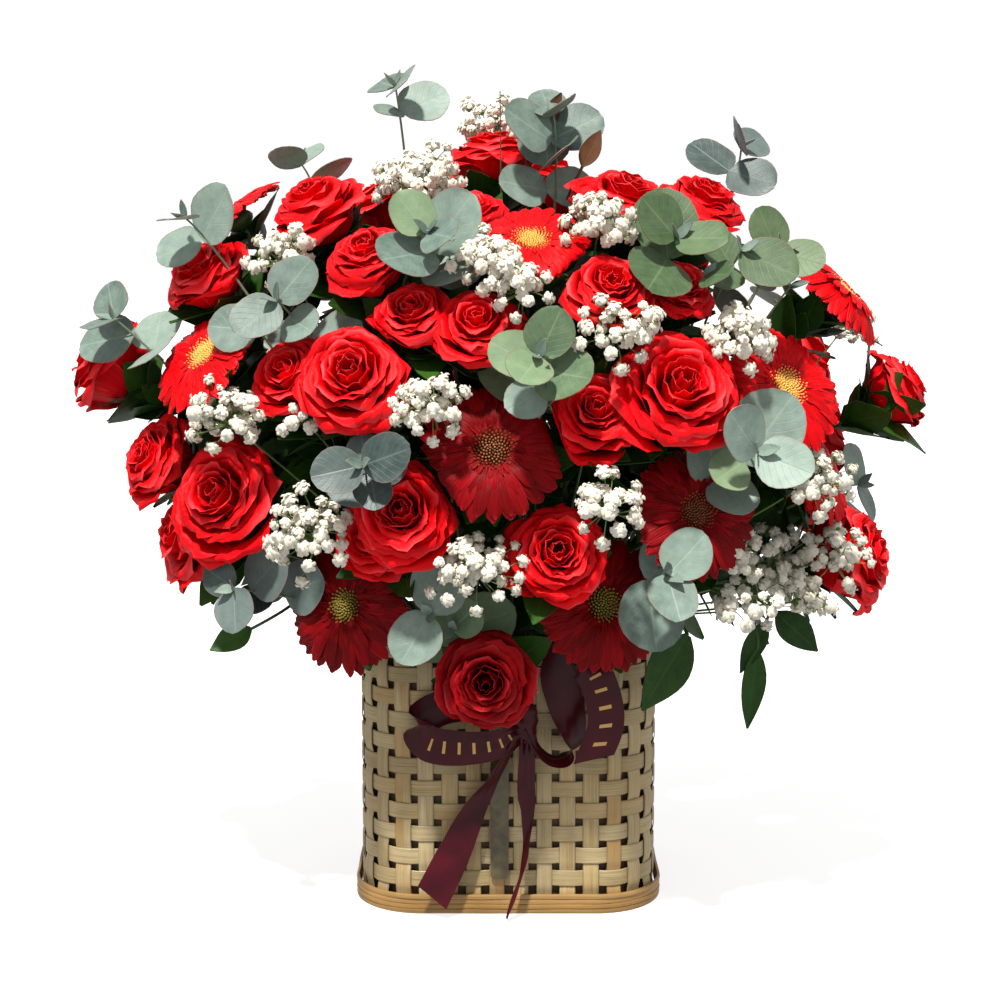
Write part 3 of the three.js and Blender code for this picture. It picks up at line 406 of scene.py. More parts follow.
def new_material(name):
    """Material with its node tree and its shader"""
    material = bpy.data.materials.new(name)
    material.use_nodes = True
    return material, material.node_tree, material.node_tree.nodes["Principled BSDF"]


def add_node(tree, kind, settings=None, **links):
    """Node with its settings, and its inputs from values or from other nodes' outputs"""
    node = tree.nodes.new(kind)
    for key, value in (settings or {}).items():
        setattr(node, key, value)
    for key, value in links.items():
        place = int(key[1:]) if key[0] == "i" and key[1:].isdigit() else key.replace("_", " ")
        if isinstance(value, bpy.types.NodeSocket):
            tree.links.new(value, node.inputs[place])
        else:
            node.inputs[place].default_value = value
    return node


def mark_of(tree):
    """Across, along and tone of each point"""
    mark = add_node(tree, "ShaderNodeAttribute", {"attribute_name": "mark"})
    return add_node(tree, "ShaderNodeSeparateXYZ", i0=mark.outputs["Vector"]).outputs


def math_node(tree, operation, *values):
    """One sum over values or other nodes' outputs"""
    links = {f"i{i}": value for i, value in enumerate(values)}
    return add_node(tree, "ShaderNodeMath", {"operation": operation}, **links).outputs[0]


def times(tree, one, two):
    return math_node(tree, "MULTIPLY", one, two)


def plus(tree, one, two):
    return math_node(tree, "ADD", one, two)


def minus(tree, one, two):
    return math_node(tree, "SUBTRACT", one, two)


def power(tree, value, exponent):
    return math_node(tree, "POWER", value, exponent)


def absolute(tree, value):
    return math_node(tree, "ABSOLUTE", value)


def larger(tree, one, two):
    return math_node(tree, "MAXIMUM", one, two)


def smaller(tree, one, two):
    return math_node(tree, "MINIMUM", one, two)


def clamped(tree, value):
    return add_node(tree, "ShaderNodeClamp", i0=value).outputs[0]


def object_place(tree):
    return add_node(tree, "ShaderNodeTexCoord").outputs["Object"]


def vector_node(tree, x, y, z):
    return add_node(tree, "ShaderNodeCombineXYZ", i0=x, i1=y, i2=z).outputs[0]


def noise_node(tree, vector, scale, detail=3.0, rough=0.5):
    """Noise over a place"""
    node = add_node(
        tree, "ShaderNodeTexNoise", Vector=vector, Scale=scale, Detail=detail, Roughness=rough)
    return node.outputs[0]


def streaks(tree, across, along, tone, wide, long, scale, detail, rough=0.5):
    """Noise stretched over the marks of a piece"""
    place = vector_node(tree, times(tree, across, wide), times(tree, along, long), tone)
    return noise_node(tree, place, scale, detail, rough)


def ramp_node(tree, value, stops):
    """Colour over a value: stops are (place, colour)"""
    node = add_node(tree, "ShaderNodeValToRGB", i0=value)
    elements = node.color_ramp.elements
    while len(elements) < len(stops):
        elements.new(0.5)
    for element, (place, colour) in zip(elements, stops):
        element.position = place
        element.color = (*colour, 1)
    return node.outputs[0]


def mix_node(tree, factor, one, two, blend="MIX"):
    """Mix of two colours, from values or other outputs"""
    node = tree.nodes.new("ShaderNodeMix")
    node.data_type = "RGBA"
    node.blend_type = blend
    for place, value in ((0, factor), (6, one), (7, two)):
        if isinstance(value, bpy.types.NodeSocket):
            tree.links.new(value, node.inputs[place])
        elif place:
            node.inputs[place].default_value = (*value, 1)
        else:
            node.inputs[place].default_value = value
    return node.outputs[2]


def bump_node(tree, height, strength, distance):
    """Bump from a height"""
    node = add_node(tree, "ShaderNodeBump", Height=height, Strength=strength, Distance=distance)
    return node.outputs[0]


def finish_material(tree, shader, colour, rough, bump=None, **values):
    """Joins colour, roughness and bump to the shader"""
    tree.links.new(colour, shader.inputs["Base Color"])
    if isinstance(rough, bpy.types.NodeSocket):
        tree.links.new(rough, shader.inputs["Roughness"])
    else:
        shader.inputs["Roughness"].default_value = rough
    if bump is not None:
        tree.links.new(bump, shader.inputs["Normal"])
    for key, value in values.items():
        shader.inputs[key.replace("_", " ")].default_value = value


def petal_material(name, deep, middle, bright, highlight_colour, vein_count, rough):
    """Petal: veins that run along it, a darker foot that is painted shade, thin lighter edges that are a
    painted highlight, and a tone of its own
    """
    material, tree, shader = new_material(name)
    across, along, tone = mark_of(tree)
    seed = times(tree, tone, 31.0)
    lines = streaks(tree, across, along, seed, vein_count, 1.6, 1.0, 3.0)
    blotch = streaks(tree, across, along, seed, 1.3, 2.2, 1.2, 2.0)
    value = plus(tree, times(tree, tone, 0.5), times(tree, blotch, 0.5))
    value = plus(tree, value, times(tree, minus(tree, lines, 0.5), 0.5))
    colour = ramp_node(tree, value, [(0.12, deep), (0.5, middle), (0.88, bright)])
    # Painted shade: darker towards the foot of each petal, where it lies deep inside the bloom
    foot = clamped(tree, times(tree, minus(tree, 0.4, along), 2.4))
    colour = mix_node(tree, foot, colour, tuple(0.55 * part for part in deep))
    # Painted highlight: thin lighter edges along the sides and the crest of each petal
    rim = larger(tree, times(tree, absolute(tree, across), 0.99), along)
    rim = power(tree, clamped(tree, rim), 30.0)
    rim = times(tree, rim, times(tree, blotch, 1.5))
    colour = mix_node(tree, rim, colour, highlight_colour)
    bump = bump_node(tree, lines, 0.55, 0.0014)
    finish_material(tree, shader, colour, rough, bump, Specular_IOR_Level=0.1)
    return material


def leaf_material(name, dark, light, vein, edge, rough, vein_count, sheen=0.0, specular=0.4):
    """Leaf: midrib, side veins, mottled blade and a thin edge of another colour"""
    material, tree, shader = new_material(name)
    across, along, tone = mark_of(tree)
    place = object_place(tree)
    mottle = noise_node(tree, place, 120.0, 6.0, 0.62)
    fine = noise_node(tree, place, 900.0, 2.0)
    value = plus(tree, times(tree, mottle, 0.6), times(tree, tone, 0.45))
    colour = ramp_node(tree, value, [(0.25, dark), (0.8, light)])
    width = absolute(tree, across)
    slope = minus(tree, along, times(tree, width, 0.38))
    wave = absolute(tree, math_node(tree, "SINE", times(tree, slope, vein_count)))
    side = times(tree, power(tree, minus(tree, 1.0, wave), 10.0), 0.5)
    rib = power(tree, minus(tree, 1.0, width), 34.0)
    veins = larger(tree, side, rib)
    colour = mix_node(tree, times(tree, veins, 0.5), colour, vein)
    rim = power(tree, smaller(tree, width, 1.0), 26.0)
    colour = mix_node(tree, times(tree, rim, 0.7), colour, edge)
    height = plus(tree, times(tree, fine, 0.35), times(tree, veins, -0.8))
    finish_material(tree, shader, colour, rough, bump_node(tree, height, 0.4, 0.0006),
                    Sheen_Weight=sheen, Specular_IOR_Level=specular)
    return material


def stalk_material(name, dark, light, rough=0.5):
    """Stem: streaks along it over a mottled green"""
    material, tree, shader = new_material(name)
    across, along, tone = mark_of(tree)
    streak = streaks(tree, across, along, tone, 3.0, 30.0, 1.5, 3.0)
    colour = ramp_node(tree, streak, [(0.3, dark), (0.75, light)])
    finish_material(tree, shader, colour, rough, bump_node(tree, streak, 0.3, 0.0004))
    return material


def disc_material(name, inner, outer, tip):
    """Disc of a gerbera: colour runs from the middle outwards, and to the tip of each floret"""
    material, tree, shader = new_material(name)
    across, along, tone = mark_of(tree)
    base = ramp_node(tree, across, [(0.15, inner), (0.55, outer), (0.95, outer)])
    ends = times(tree, power(tree, along, 2.0), plus(tree, tone, 0.25))
    colour = mix_node(tree, clamped(tree, ends), base, tip)
    fine = noise_node(tree, object_place(tree), 1400.0, 2.0)
    finish_material(tree, shader, colour, 0.6, bump_node(tree, fine, 0.3, 0.0003))
    return material


STRIP_TONES = [
    (0.0, (0.74, 0.7, 0.6)), (0.35, (1.0, 0.98, 0.94)), (0.7, (0.88, 0.8, 0.66)), (1.0, (1.05, 1.04, 1.0)),
]


def bamboo_material(name, dark, straw, pale, golden, rough=0.42, split=0.35):
    """Split bamboo: long fibres, a tone for each strip, and a fine split line along its middle"""
    material, tree, shader = new_material(name)
    across, along, tone = mark_of(tree)
    seed = times(tree, tone, 57.0)
    fibre = streaks(tree, across, along, seed, 9.0, 22.0, 1.0, 5.0, 0.62)
    patch = streaks(tree, across, along, seed, 0.6, 14.0, 1.0, 2.0)
    colour = ramp_node(tree, fibre, [(0.22, dark), (0.45, straw), (0.72, pale)])
    own = ramp_node(tree, tone, STRIP_TONES)
    colour = mix_node(tree, 1.0, colour, own, "MULTIPLY")
    gold = times(tree, minus(tree, plus(tree, tone, patch), 1.3), 4.0)
    colour = mix_node(tree, clamped(tree, gold), colour, golden)
    stain = noise_node(tree, object_place(tree), 26.0, 3.0)
    stain = ramp_node(tree, stain, [(0.3, (0.78, 0.74, 0.68)), (0.62, (1, 1, 1))])
    colour = mix_node(tree, 1.0, colour, stain, "MULTIPLY")
    middle = power(tree, minus(tree, 1.0, absolute(tree, across)), 60.0)
    line = times(tree, times(tree, middle, split), math_node(tree, "GREATER_THAN", patch, 0.47))
    # The split line is a mark of the bamboo; the darkening towards both edges of each strip is painted shade
    # where strips meet and tuck under each other
    edge = power(tree, smaller(tree, absolute(tree, across), 1.0), 14.0)
    shade = clamped(tree, plus(tree, line, times(tree, edge, 0.5)))
    colour = mix_node(tree, shade, colour, tuple(0.45 * part for part in dark))
    height = minus(tree, fibre, times(tree, line, 2.0))
    roughness = plus(tree, times(tree, fibre, 0.25), rough - 0.1)
    bump = bump_node(tree, height, 0.5, 0.0006)
    finish_material(tree, shader, colour, roughness, bump, Specular_IOR_Level=0.4)
    return material


def plain_material(name, one, two, scale, rough, strength, distance, **values):
    """Two tones over noise, with a bump of the same noise"""
    material, tree, shader = new_material(name)
    place = object_place(tree)
    value = noise_node(tree, place, scale, 5.0)
    colour = ramp_node(tree, value, [(0.3, one), (0.7, two)])
    finish_material(tree, shader, colour, rough, bump_node(tree, value, strength, distance), **values)
    return material


def satin_material():
    """Satin: fine weft, broad gloss, and a plain motif of small gold bars on part of it"""
    material, tree, shader = new_material("ribbon_satin")
    across, along, tone = mark_of(tree)
    weft = streaks(tree, across, along, 0.0, 3.0, 2600.0, 1.0, 2.0)
    cloud = noise_node(tree, object_place(tree), 60.0, 3.0)
    colour = ramp_node(tree, cloud, [(0.3, (0.036, 0.0005, 0.0035)), (0.7, (0.07, 0.0011, 0.007))])
    step = math_node(tree, "FRACT", times(tree, along, 1 / BAR_STEP))
    bar = math_node(tree, "LESS_THAN", step, BAR_SHARE)
    inside = math_node(tree, "LESS_THAN", absolute(tree, across), BAR_REACH)
    printed = math_node(tree, "GREATER_THAN", tone, 0.5)
    gold = times(tree, times(tree, bar, inside), printed)
    colour = mix_node(tree, gold, colour, (0.62, 0.38, 0.12))
    rough = plus(tree, times(tree, weft, 0.12), 0.27)
    finish_material(tree, shader, colour, rough, bump_node(tree, weft, 0.25, 0.0002),
                    Specular_IOR_Level=0.28)
    return material


BAR_STEP = 0.0092
BAR_SHARE = 0.2
BAR_REACH = 0.34

ROSE = petal_material(
    "rose_petal", (0.5, 0.0002, 0.003), (0.74, 0.0008, 0.004), (0.9, 0.003, 0.009),
    (0.95, 0.07, 0.08), 9.0, 0.5)
# Darker copy of the rose petal: painted shade
SHADED_ROSE = petal_material(
    "rose_petal_painted_shade", (0.16, 0.0002, 0.002), (0.32, 0.0006, 0.003), (0.46, 0.002, 0.006),
    (0.6, 0.03, 0.04), 9.0, 0.5)
GERBERA = petal_material(
    "gerbera_petal", (0.36, 0.0002, 0.002), (0.64, 0.0006, 0.003), (0.82, 0.003, 0.008),
    (0.85, 0.03, 0.04), 5.0, 0.42)
# Darker copy of the gerbera petal: painted shade
SHADED_GERBERA = petal_material(
    "gerbera_petal_painted_shade", (0.1, 0.0002, 0.001), (0.2, 0.0005, 0.002), (0.32, 0.0015, 0.005),
    (0.4, 0.015, 0.02), 5.0, 0.45)
EYE = {
    "golden": disc_material("gerbera_disc_golden", (0.62, 0.42, 0.05), (0.85, 0.4, 0.07), (0.95, 0.58, 0.16)),
    "dark": disc_material("gerbera_disc_dark", (0.05, 0.012, 0.004), (0.16, 0.03, 0.008), (0.4, 0.12, 0.03)),
    "green": disc_material("gerbera_disc_green", (0.14, 0.15, 0.02), (0.26, 0.18, 0.025), (0.4, 0.28, 0.05)),
}
EYE_REACH = {"golden": 0.275, "dark": 0.25, "green": 0.21}
EUCALYPTUS_LEAF = leaf_material(
    "eucalyptus_leaf", (0.075, 0.12, 0.1), (0.255, 0.34, 0.285), (0.32, 0.4, 0.32),
    (0.22, 0.13, 0.1), 0.5, 22.0, 0.06)
GREENER_LEAF = leaf_material(
    "eucalyptus_leaf_green", (0.07, 0.125, 0.062), (0.21, 0.3, 0.165), (0.3, 0.37, 0.22),
    (0.17, 0.12, 0.06), 0.5, 22.0, 0.04)
OLIVE_LEAF = leaf_material(
    "eucalyptus_leaf_olive", (0.04, 0.08, 0.03), (0.135, 0.205, 0.095), (0.2, 0.27, 0.13),
    (0.14, 0.1, 0.05), 0.5, 22.0, 0.04)
# Darker copy of the eucalyptus leaf: painted shade for sprigs that lie in shade
SHADED_LEAF = leaf_material(
    "eucalyptus_leaf_painted_shade", (0.03, 0.05, 0.048), (0.12, 0.165, 0.15), (0.2, 0.255, 0.225),
    (0.2, 0.14, 0.12), 0.45, 22.0, 0.05)
GREEN_LEAF = leaf_material(
    "green_leaf", (0.01, 0.04, 0.005), (0.035, 0.105, 0.012), (0.07, 0.14, 0.03),
    (0.02, 0.05, 0.01), 0.42, 30.0, 0.0, 0.22)
DRY_LEAF = leaf_material(
    "dry_leaf", (0.09, 0.035, 0.012), (0.2, 0.1, 0.04), (0.24, 0.14, 0.07), (0.1, 0.04, 0.02), 0.6, 24.0)
GREEN_STEM = stalk_material("green_stem", (0.02, 0.06, 0.01), (0.07, 0.15, 0.03))
GREY_TWIG = stalk_material("grey_twig", (0.1, 0.13, 0.08), (0.26, 0.27, 0.18))
THIN_STALK = stalk_material("thin_stalk", (0.09, 0.16, 0.04), (0.2, 0.28, 0.09))
DRY_TWIG = stalk_material("dry_twig", (0.06, 0.035, 0.018), (0.2, 0.12, 0.06), 0.7)
BREATH_PETAL = plain_material(
    "breath_petal", (0.64, 0.59, 0.47), (0.82, 0.79, 0.69), 420.0, 0.7, 0.25, 0.0004, Sheen_Weight=0.15)
BAMBOO = bamboo_material(
    "split_bamboo", (0.24, 0.17, 0.08), (0.49, 0.385, 0.21), (0.64, 0.53, 0.325), (0.46, 0.29, 0.115))
CANE = bamboo_material(
    "honey_cane", (0.21, 0.105, 0.032), (0.42, 0.245, 0.085), (0.54, 0.35, 0.145),
    (0.47, 0.27, 0.09), 0.36, 0.0)
LINER = plain_material("dark_film", (0.03, 0.016, 0.006), (0.14, 0.08, 0.035), 60.0, 0.6, 0.4, 0.002)
FOAM = plain_material("wet_foam", (0.02, 0.05, 0.016), (0.06, 0.12, 0.045), 500.0, 0.95, 0.9, 0.0012)
SPLINT = plain_material(
    "lacquered_bamboo", (0.045, 0.032, 0.01), (0.13, 0.1, 0.035), 120.0, 0.16, 0.3, 0.0008, Coat_Weight=0.5)
SATIN = satin_material()


# Blooms

def blooms_of():
    """All blooms of the tables, with the way each one looks"""
    blooms = []

    def add(row, kind, node, far):
        """One bloom of a row"""
        x, y, z, size, turn = row
        blooms.append({
            "kind": kind, "node": node, "far": far, "centre": [float(x), float(y), float(z)],
            "axis": axis_of(x, y, z, turn), "radius": size / 2,
        })

    for i, group in enumerate(FRONT_ROSES):
        for k, row in enumerate(group):
            add(row, "rose", f"rose_{i + 1:02d}", k > 0)
    for i, group in enumerate(BACK_ROSES):
        for row in group:
            add(row, "rose", f"rose_bunch_back_{i + 1}", True)
    for i, row in enumerate(FRONT_GERBERAS):
        add(row, "gerbera", f"gerbera_{i + 1:02d}", False)
    for i, row in enumerate(BACK_GERBERAS):
        add(row, "gerbera", f"gerbera_back_{i + 1}", False)
    return blooms


# Height of a bloom, and how blooms crowd, as shares of their size
HIGH = {"rose": 0.62, "gerbera": 0.24}
SETTLE_ROUNDS = 60
MATE_ROOM = 0.78
MATE_PULL = 0.6
OWN_ROOM = 0.9
OWN_PUSH = 0.3
NEAR_SHARE = 1.1
KNEE_SHARE = 0.8


def extent(bloom, dx, dy, dz):
    """Half size of a bloom along a direction"""
    ax, ay, az = bloom["axis"]
    along = abs(ax * dx + ay * dy + az * dz)
    high = bloom["radius"] * HIGH[bloom["kind"]]
    return math.hypot(bloom["radius"] * math.sqrt(max(0.0, 1 - along * along)), high * along)


def settle(blooms):
    """Blooms push each other apart until they only crowd; mates are drawn together"""
    for _ in range(SETTLE_ROUNDS):
        for i, one in enumerate(blooms):
            for j in range(i + 1, len(blooms)):
                two = blooms[j]
                a, b = one["centre"], two["centre"]
                dx, dy, dz = b[0] - a[0], b[1] - a[1], b[2] - a[2]
                distance = math.sqrt(dx * dx + dy * dy + dz * dz)
                mates = one["node"] == two["node"] and j == i + 1
                if distance > one["radius"] + two["radius"] and not mates:
                    continue
                dx, dy, dz = dx / distance, dy / distance, dz / distance
                room = extent(one, dx, dy, dz) + extent(two, dx, dy, dz)
                move = 0.0
                if mates:
                    move = (MATE_ROOM * room - distance) * MATE_PULL
                elif distance < OWN_ROOM * room:
                    move = (OWN_ROOM * room - distance) * OWN_PUSH
                for k, part in enumerate((dx, dy, dz)):
                    a[k] -= part * move / 2
                    b[k] += part * move / 2


def walls_of(bloom, blooms):
    """Planes between a bloom and each near neighbour that isn't of its own piece"""
    walls = []
    for other in blooms:
        if other["node"] == bloom["node"]:
            continue
        gap = np.array(other["centre"]) - bloom["centre"]
        distance = float(np.linalg.norm(gap))
        if distance > (bloom["radius"] + other["radius"]) * NEAR_SHARE:
            continue
        direction = gap / distance
        own = extent(bloom, *direction)
        share = distance * own / (own + extent(other, *direction))
        walls.append((direction, share - GAP / 2))
    return walls


def squeeze(points, walls):
    """Presses points softly behind the planes, so that neighbours crowd but don't cross"""
    for _ in range(2):
        for direction, reach in walls:
            depth = points @ direction
            knee = KNEE_SHARE * reach
            span = reach - knee
            over = np.maximum(depth - knee, 0)
            pressed = np.where(depth > knee, knee + span * (1 - np.exp(-over / span)), depth)
            points = points + (pressed - depth)[..., None] * direction
    return points


# How much fuller than its solid a bloom is, by its node and whether it is the far one of a pair
FULLER = {
    ("rose_01", False): 1.28, ("rose_03", True): 1.36,
    ("rose_16", False): 1.3, ("rose_17", False): 1.12,
}
FULLER_FRONT = 1.06


class Seat:
    """Puts unit-size local points at a bloom, in millimetres, pressed behind its walls"""

    def __init__(self, bloom, blooms):
        turn = pick(bloom["radius"] + bloom["centre"][0]) * 6.28
        self.basis = frame_along(bloom["axis"], turn)
        self.centre = np.array(bloom["centre"])
        fuller = FULLER.get((bloom["node"], bloom["far"]), FULLER_FRONT)
        self.radius = bloom["radius"] * (1.0 if "back" in bloom["node"] else fuller)
        self.walls = walls_of(bloom, blooms)

    def place(self, points):
        """Where local points come to lie"""
        return squeeze(points @ self.basis * self.radius, self.walls) + self.centre


ROSE_ROWS = np.array([0, 0.24, 0.45, 0.62, 0.74, 0.83, 0.9, 0.96, 1.0])
ROSE_ROWS_HEART = np.array([0.4, 0.6, 0.74, 0.84, 0.91, 0.96, 1.0])
ROSE_ROWS_FAR = np.array([0, 0.35, 0.62, 0.8, 0.92, 1.0])
CREST = 0.8
NEAR_PETALS = 27
FAR_PETALS = 23
BACK_PETALS = 18
FRONT_COLS = 13
BACK_COLS = 9
LARGE_ROSE = 33
PETAL_THICK = 0.35
SEPAL_THICK = 0.4
SEPALS = 5
CALYX_SHAPE = np.array([0.35, 0.62, 0.9, 1.0, 0.92, 0.75, 0.4])
CALYX_SIDES = 10
# Half width, lowest and highest point of the swelling under each kind of bloom
CALYX = {"rose": (0.17, -0.82, -0.52), "gerbera": (0.26, -0.3, 0.06)}


# Shapes of blooms are in shares of the bloom's radius, with its axis along +Z
def rose_petal(t, phi, rng, rows, cols):
    """Grid of one petal: t runs from the heart, 0, to the outermost petal, 1"""
    u = np.linspace(-1, 1, cols)[None, :]
    tip = 0.03 + 0.04 * rng.random()
    s = rows[:, None] * (1 - (0.08 + 0.26 * t) * np.abs(u) ** 2.4 + tip * np.exp(-(u / 0.2) ** 2)
                        + 0.02 * np.sin(9 * u + 40 * tip) * np.abs(u))
    crest_r = (0.075 + 0.87 * t ** 0.82) * (1 + rng.uniform(-0.1, 0.06))
    crest_z = 0.52 - 0.5 * t ** 1.6 + rng.uniform(-0.07, 0.06)
    base_r = 0.035 + 0.06 * t
    base_z = -0.34 - 0.3 * t
    lean = math.radians(-14 + 80 * t ** 0.9 + rng.uniform(-16, 12))
    roll = math.radians(30 + 130 * min(1, 1.8 * t) + rng.uniform(-30, 30))
    roll_length = 0.05 + 0.13 * min(1, 1.5 * t)
    belly = 0.55 + 0.35 * t
    p0 = np.array([base_r, base_z])
    p1 = np.array([base_r + (crest_r - base_r) * belly, base_z + 0.06])
    p3 = np.array([crest_r, crest_z])
    p2 = p3 - (0.5 * (crest_z - base_z) + 0.05) * np.array([math.sin(lean), math.cos(lean)])
    x = np.clip(s / CREST, 0, 1)[..., None]
    spine = (1 - x) ** 3 * p0 + 3 * x * (1 - x) ** 2 * p1 + 3 * x * x * (1 - x) * p2 + x ** 3 * p3
    over = np.clip((s - CREST) / (1 - CREST), 0, None)
    uneven = 1 + 0.35 * np.sin(u * rng.uniform(2, 4) + rng.uniform(0, TAU))
    angle = lean + roll * over * 0.5 * uneven
    spine[..., 0] += roll_length * over * np.sin(angle)
    spine[..., 1] += roll_length * over * np.cos(angle)
    r, z = spine[..., 0], spine[..., 1]
    half = math.radians((116 - 58 * t ** 0.55) * (1 + rng.uniform(-0.2, 0.16)))
    width = 0.42 + 0.58 * np.sin(np.clip(s / 0.62, 0, 1) * math.pi / 2)
    side = np.clip((np.abs(u) - 0.5) / 0.5, 0, 1) ** 2
    r = r * (1 + 0.04 * u) + (0.05 + 0.05 * t) * side * s ** 2
    z = z - 0.06 * t * side * s ** 2
    phase, ripple = rng.uniform(0, TAU), rng.uniform(0.03, 0.06)
    margin = s ** 4 * (0.45 + 0.55 * t)
    z = z + ripple * np.sin(2.3 * math.pi * u + phase) * margin
    r = r + ripple * 0.9 * np.sin(3.7 * math.pi * u + phase * 2) * margin
    r = r + ripple * 0.45 * np.sin(6.1 * math.pi * u + phase * 3) * margin
    z = z + ripple * 0.4 * np.sin(5.3 * math.pi * u + phase * 5) * margin
    around = phi + half * width * u
    grid = np.stack([r * np.cos(around), r * np.sin(around), z], axis=-1)
    return grid, grid_marks(u, s, rng.random())


def rose(pile, bloom, blooms, index, material):
    """Petals from the heart outwards by the golden angle, over a calyx with five sepals"""
    rng = np.random.default_rng(SEEDS["rose"] + index)
    seat = Seat(bloom, blooms)
    back = "back" in bloom["node"]
    count = BACK_PETALS if back else (FAR_PETALS if bloom["far"] else NEAR_PETALS)
    for i in range(count):
        t = i / (count - 1)
        phi = i * GOLDEN_TURN + rng.uniform(-0.45, 0.45)
        outer = t > 0.45
        rows = ROSE_ROWS_FAR if back else (ROSE_ROWS if outer else ROSE_ROWS_HEART)
        cols = BACK_COLS if back else FRONT_COLS + 2 * (bloom["radius"] > LARGE_ROSE)
        grid, marks = rose_petal(t, phi, rng, rows, cols)
        shell(pile, seat.place(grid), PETAL_THICK, material, marks, outer)
    calyx(pile, seat, rng, *CALYX["rose"])
    for i in range(SEPALS):
        around = i * TAU / SEPALS + rng.uniform(-0.2, 0.2)
        sepal(pile, seat, around, rng)


def calyx(pile, seat, rng, wide, low, high):
    """Swelling under a bloom"""
    heights = np.linspace(low, high, len(CALYX_SHAPE))
    angles = np.arange(CALYX_SIDES) * TAU / CALYX_SIDES
    rings = np.array([
        np.stack([np.cos(angles) * r, np.sin(angles) * r, np.full(CALYX_SIDES, z)], axis=-1)
        for r, z in zip(CALYX_SHAPE * wide, heights)
    ])
    points = np.concatenate([rings.reshape(-1, 3), [[0, 0, low], [0, 0, high]]])
    marks = np.zeros((len(points), 3))
    marks[:, 2] = rng.random()
    faces = ring_faces(len(CALYX_SHAPE), CALYX_SIDES)
    pile.add(points @ seat.basis * seat.radius + seat.centre, faces, GREEN_STEM, marks)


def sepal(pile, seat, around, rng):
    """Narrow pointed sepal that spreads under the petals"""
    u = np.linspace(-1, 1, 3)[None, :]
    s = np.linspace(0, 1, 6)[:, None]
    reach = rng.uniform(0.5, 0.8)
    r = 0.1 + reach * s + 0 * u
    z = -0.62 + 0.18 * s + rng.uniform(-0.1, 0.2) * s ** 2 - 0.02 * np.abs(u)
    half = 0.1 * np.sin(np.pi * (0.12 + 0.86 * s) ** 0.8) + 0.006
    x = r * math.cos(around) - half * u * math.sin(around)
    y = r * math.sin(around) + half * u * math.cos(around)
    grid = seat.place(np.stack([x, y, z], axis=-1))
    shell(pile, grid, SEPAL_THICK, GREEN_LEAF, grid_marks(u, s, rng.random()))


def ray_petal(around, inner, outer, height, half, droop, rng, rows, cols):
    """Strap petal of a gerbera, grooved along its length and rounded at the tip"""
    u = np.linspace(-1, 1, cols)[None, :]
    s = (1 - np.linspace(1, 0, rows) ** 1.5)[:, None]
    tip = 1 - 0.05 * np.abs(u) ** 2
    r = inner + (outer - inner) * s * tip
    swell = 0.45 + 0.55 * np.sin(np.clip(s * 1.3, 0, 1) * math.pi / 2)
    wide = half * swell * np.sqrt(np.clip(1.03 - s ** 11, 0.1, 1))
    lift = rng.uniform(-0.02, 0.025)
    z = height + lift * s - droop * s ** 2 + (outer - inner) * 0.12 * np.sin(s * math.pi)
    z = z + 0.022 * np.abs(u) ** 1.5 * (1 - 0.5 * s) - 0.01 * np.cos(u * math.pi * 2) * s
    swing = rng.uniform(-0.03, 0.03) * s ** 2
    twist = rng.uniform(-0.16, 0.16)
    z = z + twist * wide * u * s
    x = r * np.cos(around + swing) - wide * u * math.sin(around)
    y = r * np.sin(around + swing) + wide * u * math.cos(around)
    return np.stack([x, y, z], axis=-1), grid_marks(u, s, rng.random())


# Layers of a gerbera: petals, inner and outer reach, height, half width, droop, rows of points
GERBERA_LAYERS = [
    (25, 0.2, 1.02, 0.02, 0.106, 0.03, 8), (25, 0.2, 0.97, 0.055, 0.1, 0.02, 8),
    (21, 0.2, 0.74, 0.1, 0.08, 0.0, 7), (28, 0.2, 0.44, 0.12, 0.036, -0.05, 4),
]
FACING = 0.45
SIDE_SAG = 0.22
# Florets of the disc: how close they stand, the faces of one, and how far up each of its points is
DISC_CROWD = 2250
DISC_WALL = np.array([[k, (k + 1) % 4, 4 + (k + 1) % 4, 4 + k] for k in range(4)])
DISC_TOP = [[8, 4 + k, 4 + (k + 1) % 4] for k in range(4)]
DISC_UNDER = [[9, (k + 1) % 4, k] for k in range(4)]
DISC_CAPS = np.array(DISC_TOP + DISC_UNDER)
DISC_ALONG = [0.0] * 4 + [0.8] * 4 + [1.0, 0.0]


def gerbera(pile, bloom, blooms, index, eye, material):
    """Layers of strap petals round a ring of short florets and a disc"""
    rng = np.random.default_rng(SEEDS["gerbera"] + index)
    seat = Seat(bloom, blooms)
    sag = 0.0 if eye != "golden" or abs(bloom["axis"][1]) > FACING else SIDE_SAG
    for count, inner, outer, height, half, droop, rows in GERBERA_LAYERS:
        start = rng.uniform(0, 1)
        droop = droop + sag * (outer > 0.9)
        for i in range(count):
            around = (i + start + rng.uniform(-0.2, 0.2)) * TAU / count
            reach = outer * rng.uniform(0.94, 1.02)
            wide = half * rng.uniform(0.92, 1.08)
            hang = droop + rng.uniform(-0.02, 0.03)
            cols = 5 if outer > 0.5 else 3
            grid, marks = ray_petal(around, inner, reach, height, wide, hang, rng, rows, cols)
            shell(pile, seat.place(grid), PETAL_THICK, material, marks)
    disc(pile, seat, rng, EYE[eye], EYE_REACH[eye])
    calyx(pile, seat, rng, *CALYX["gerbera"])


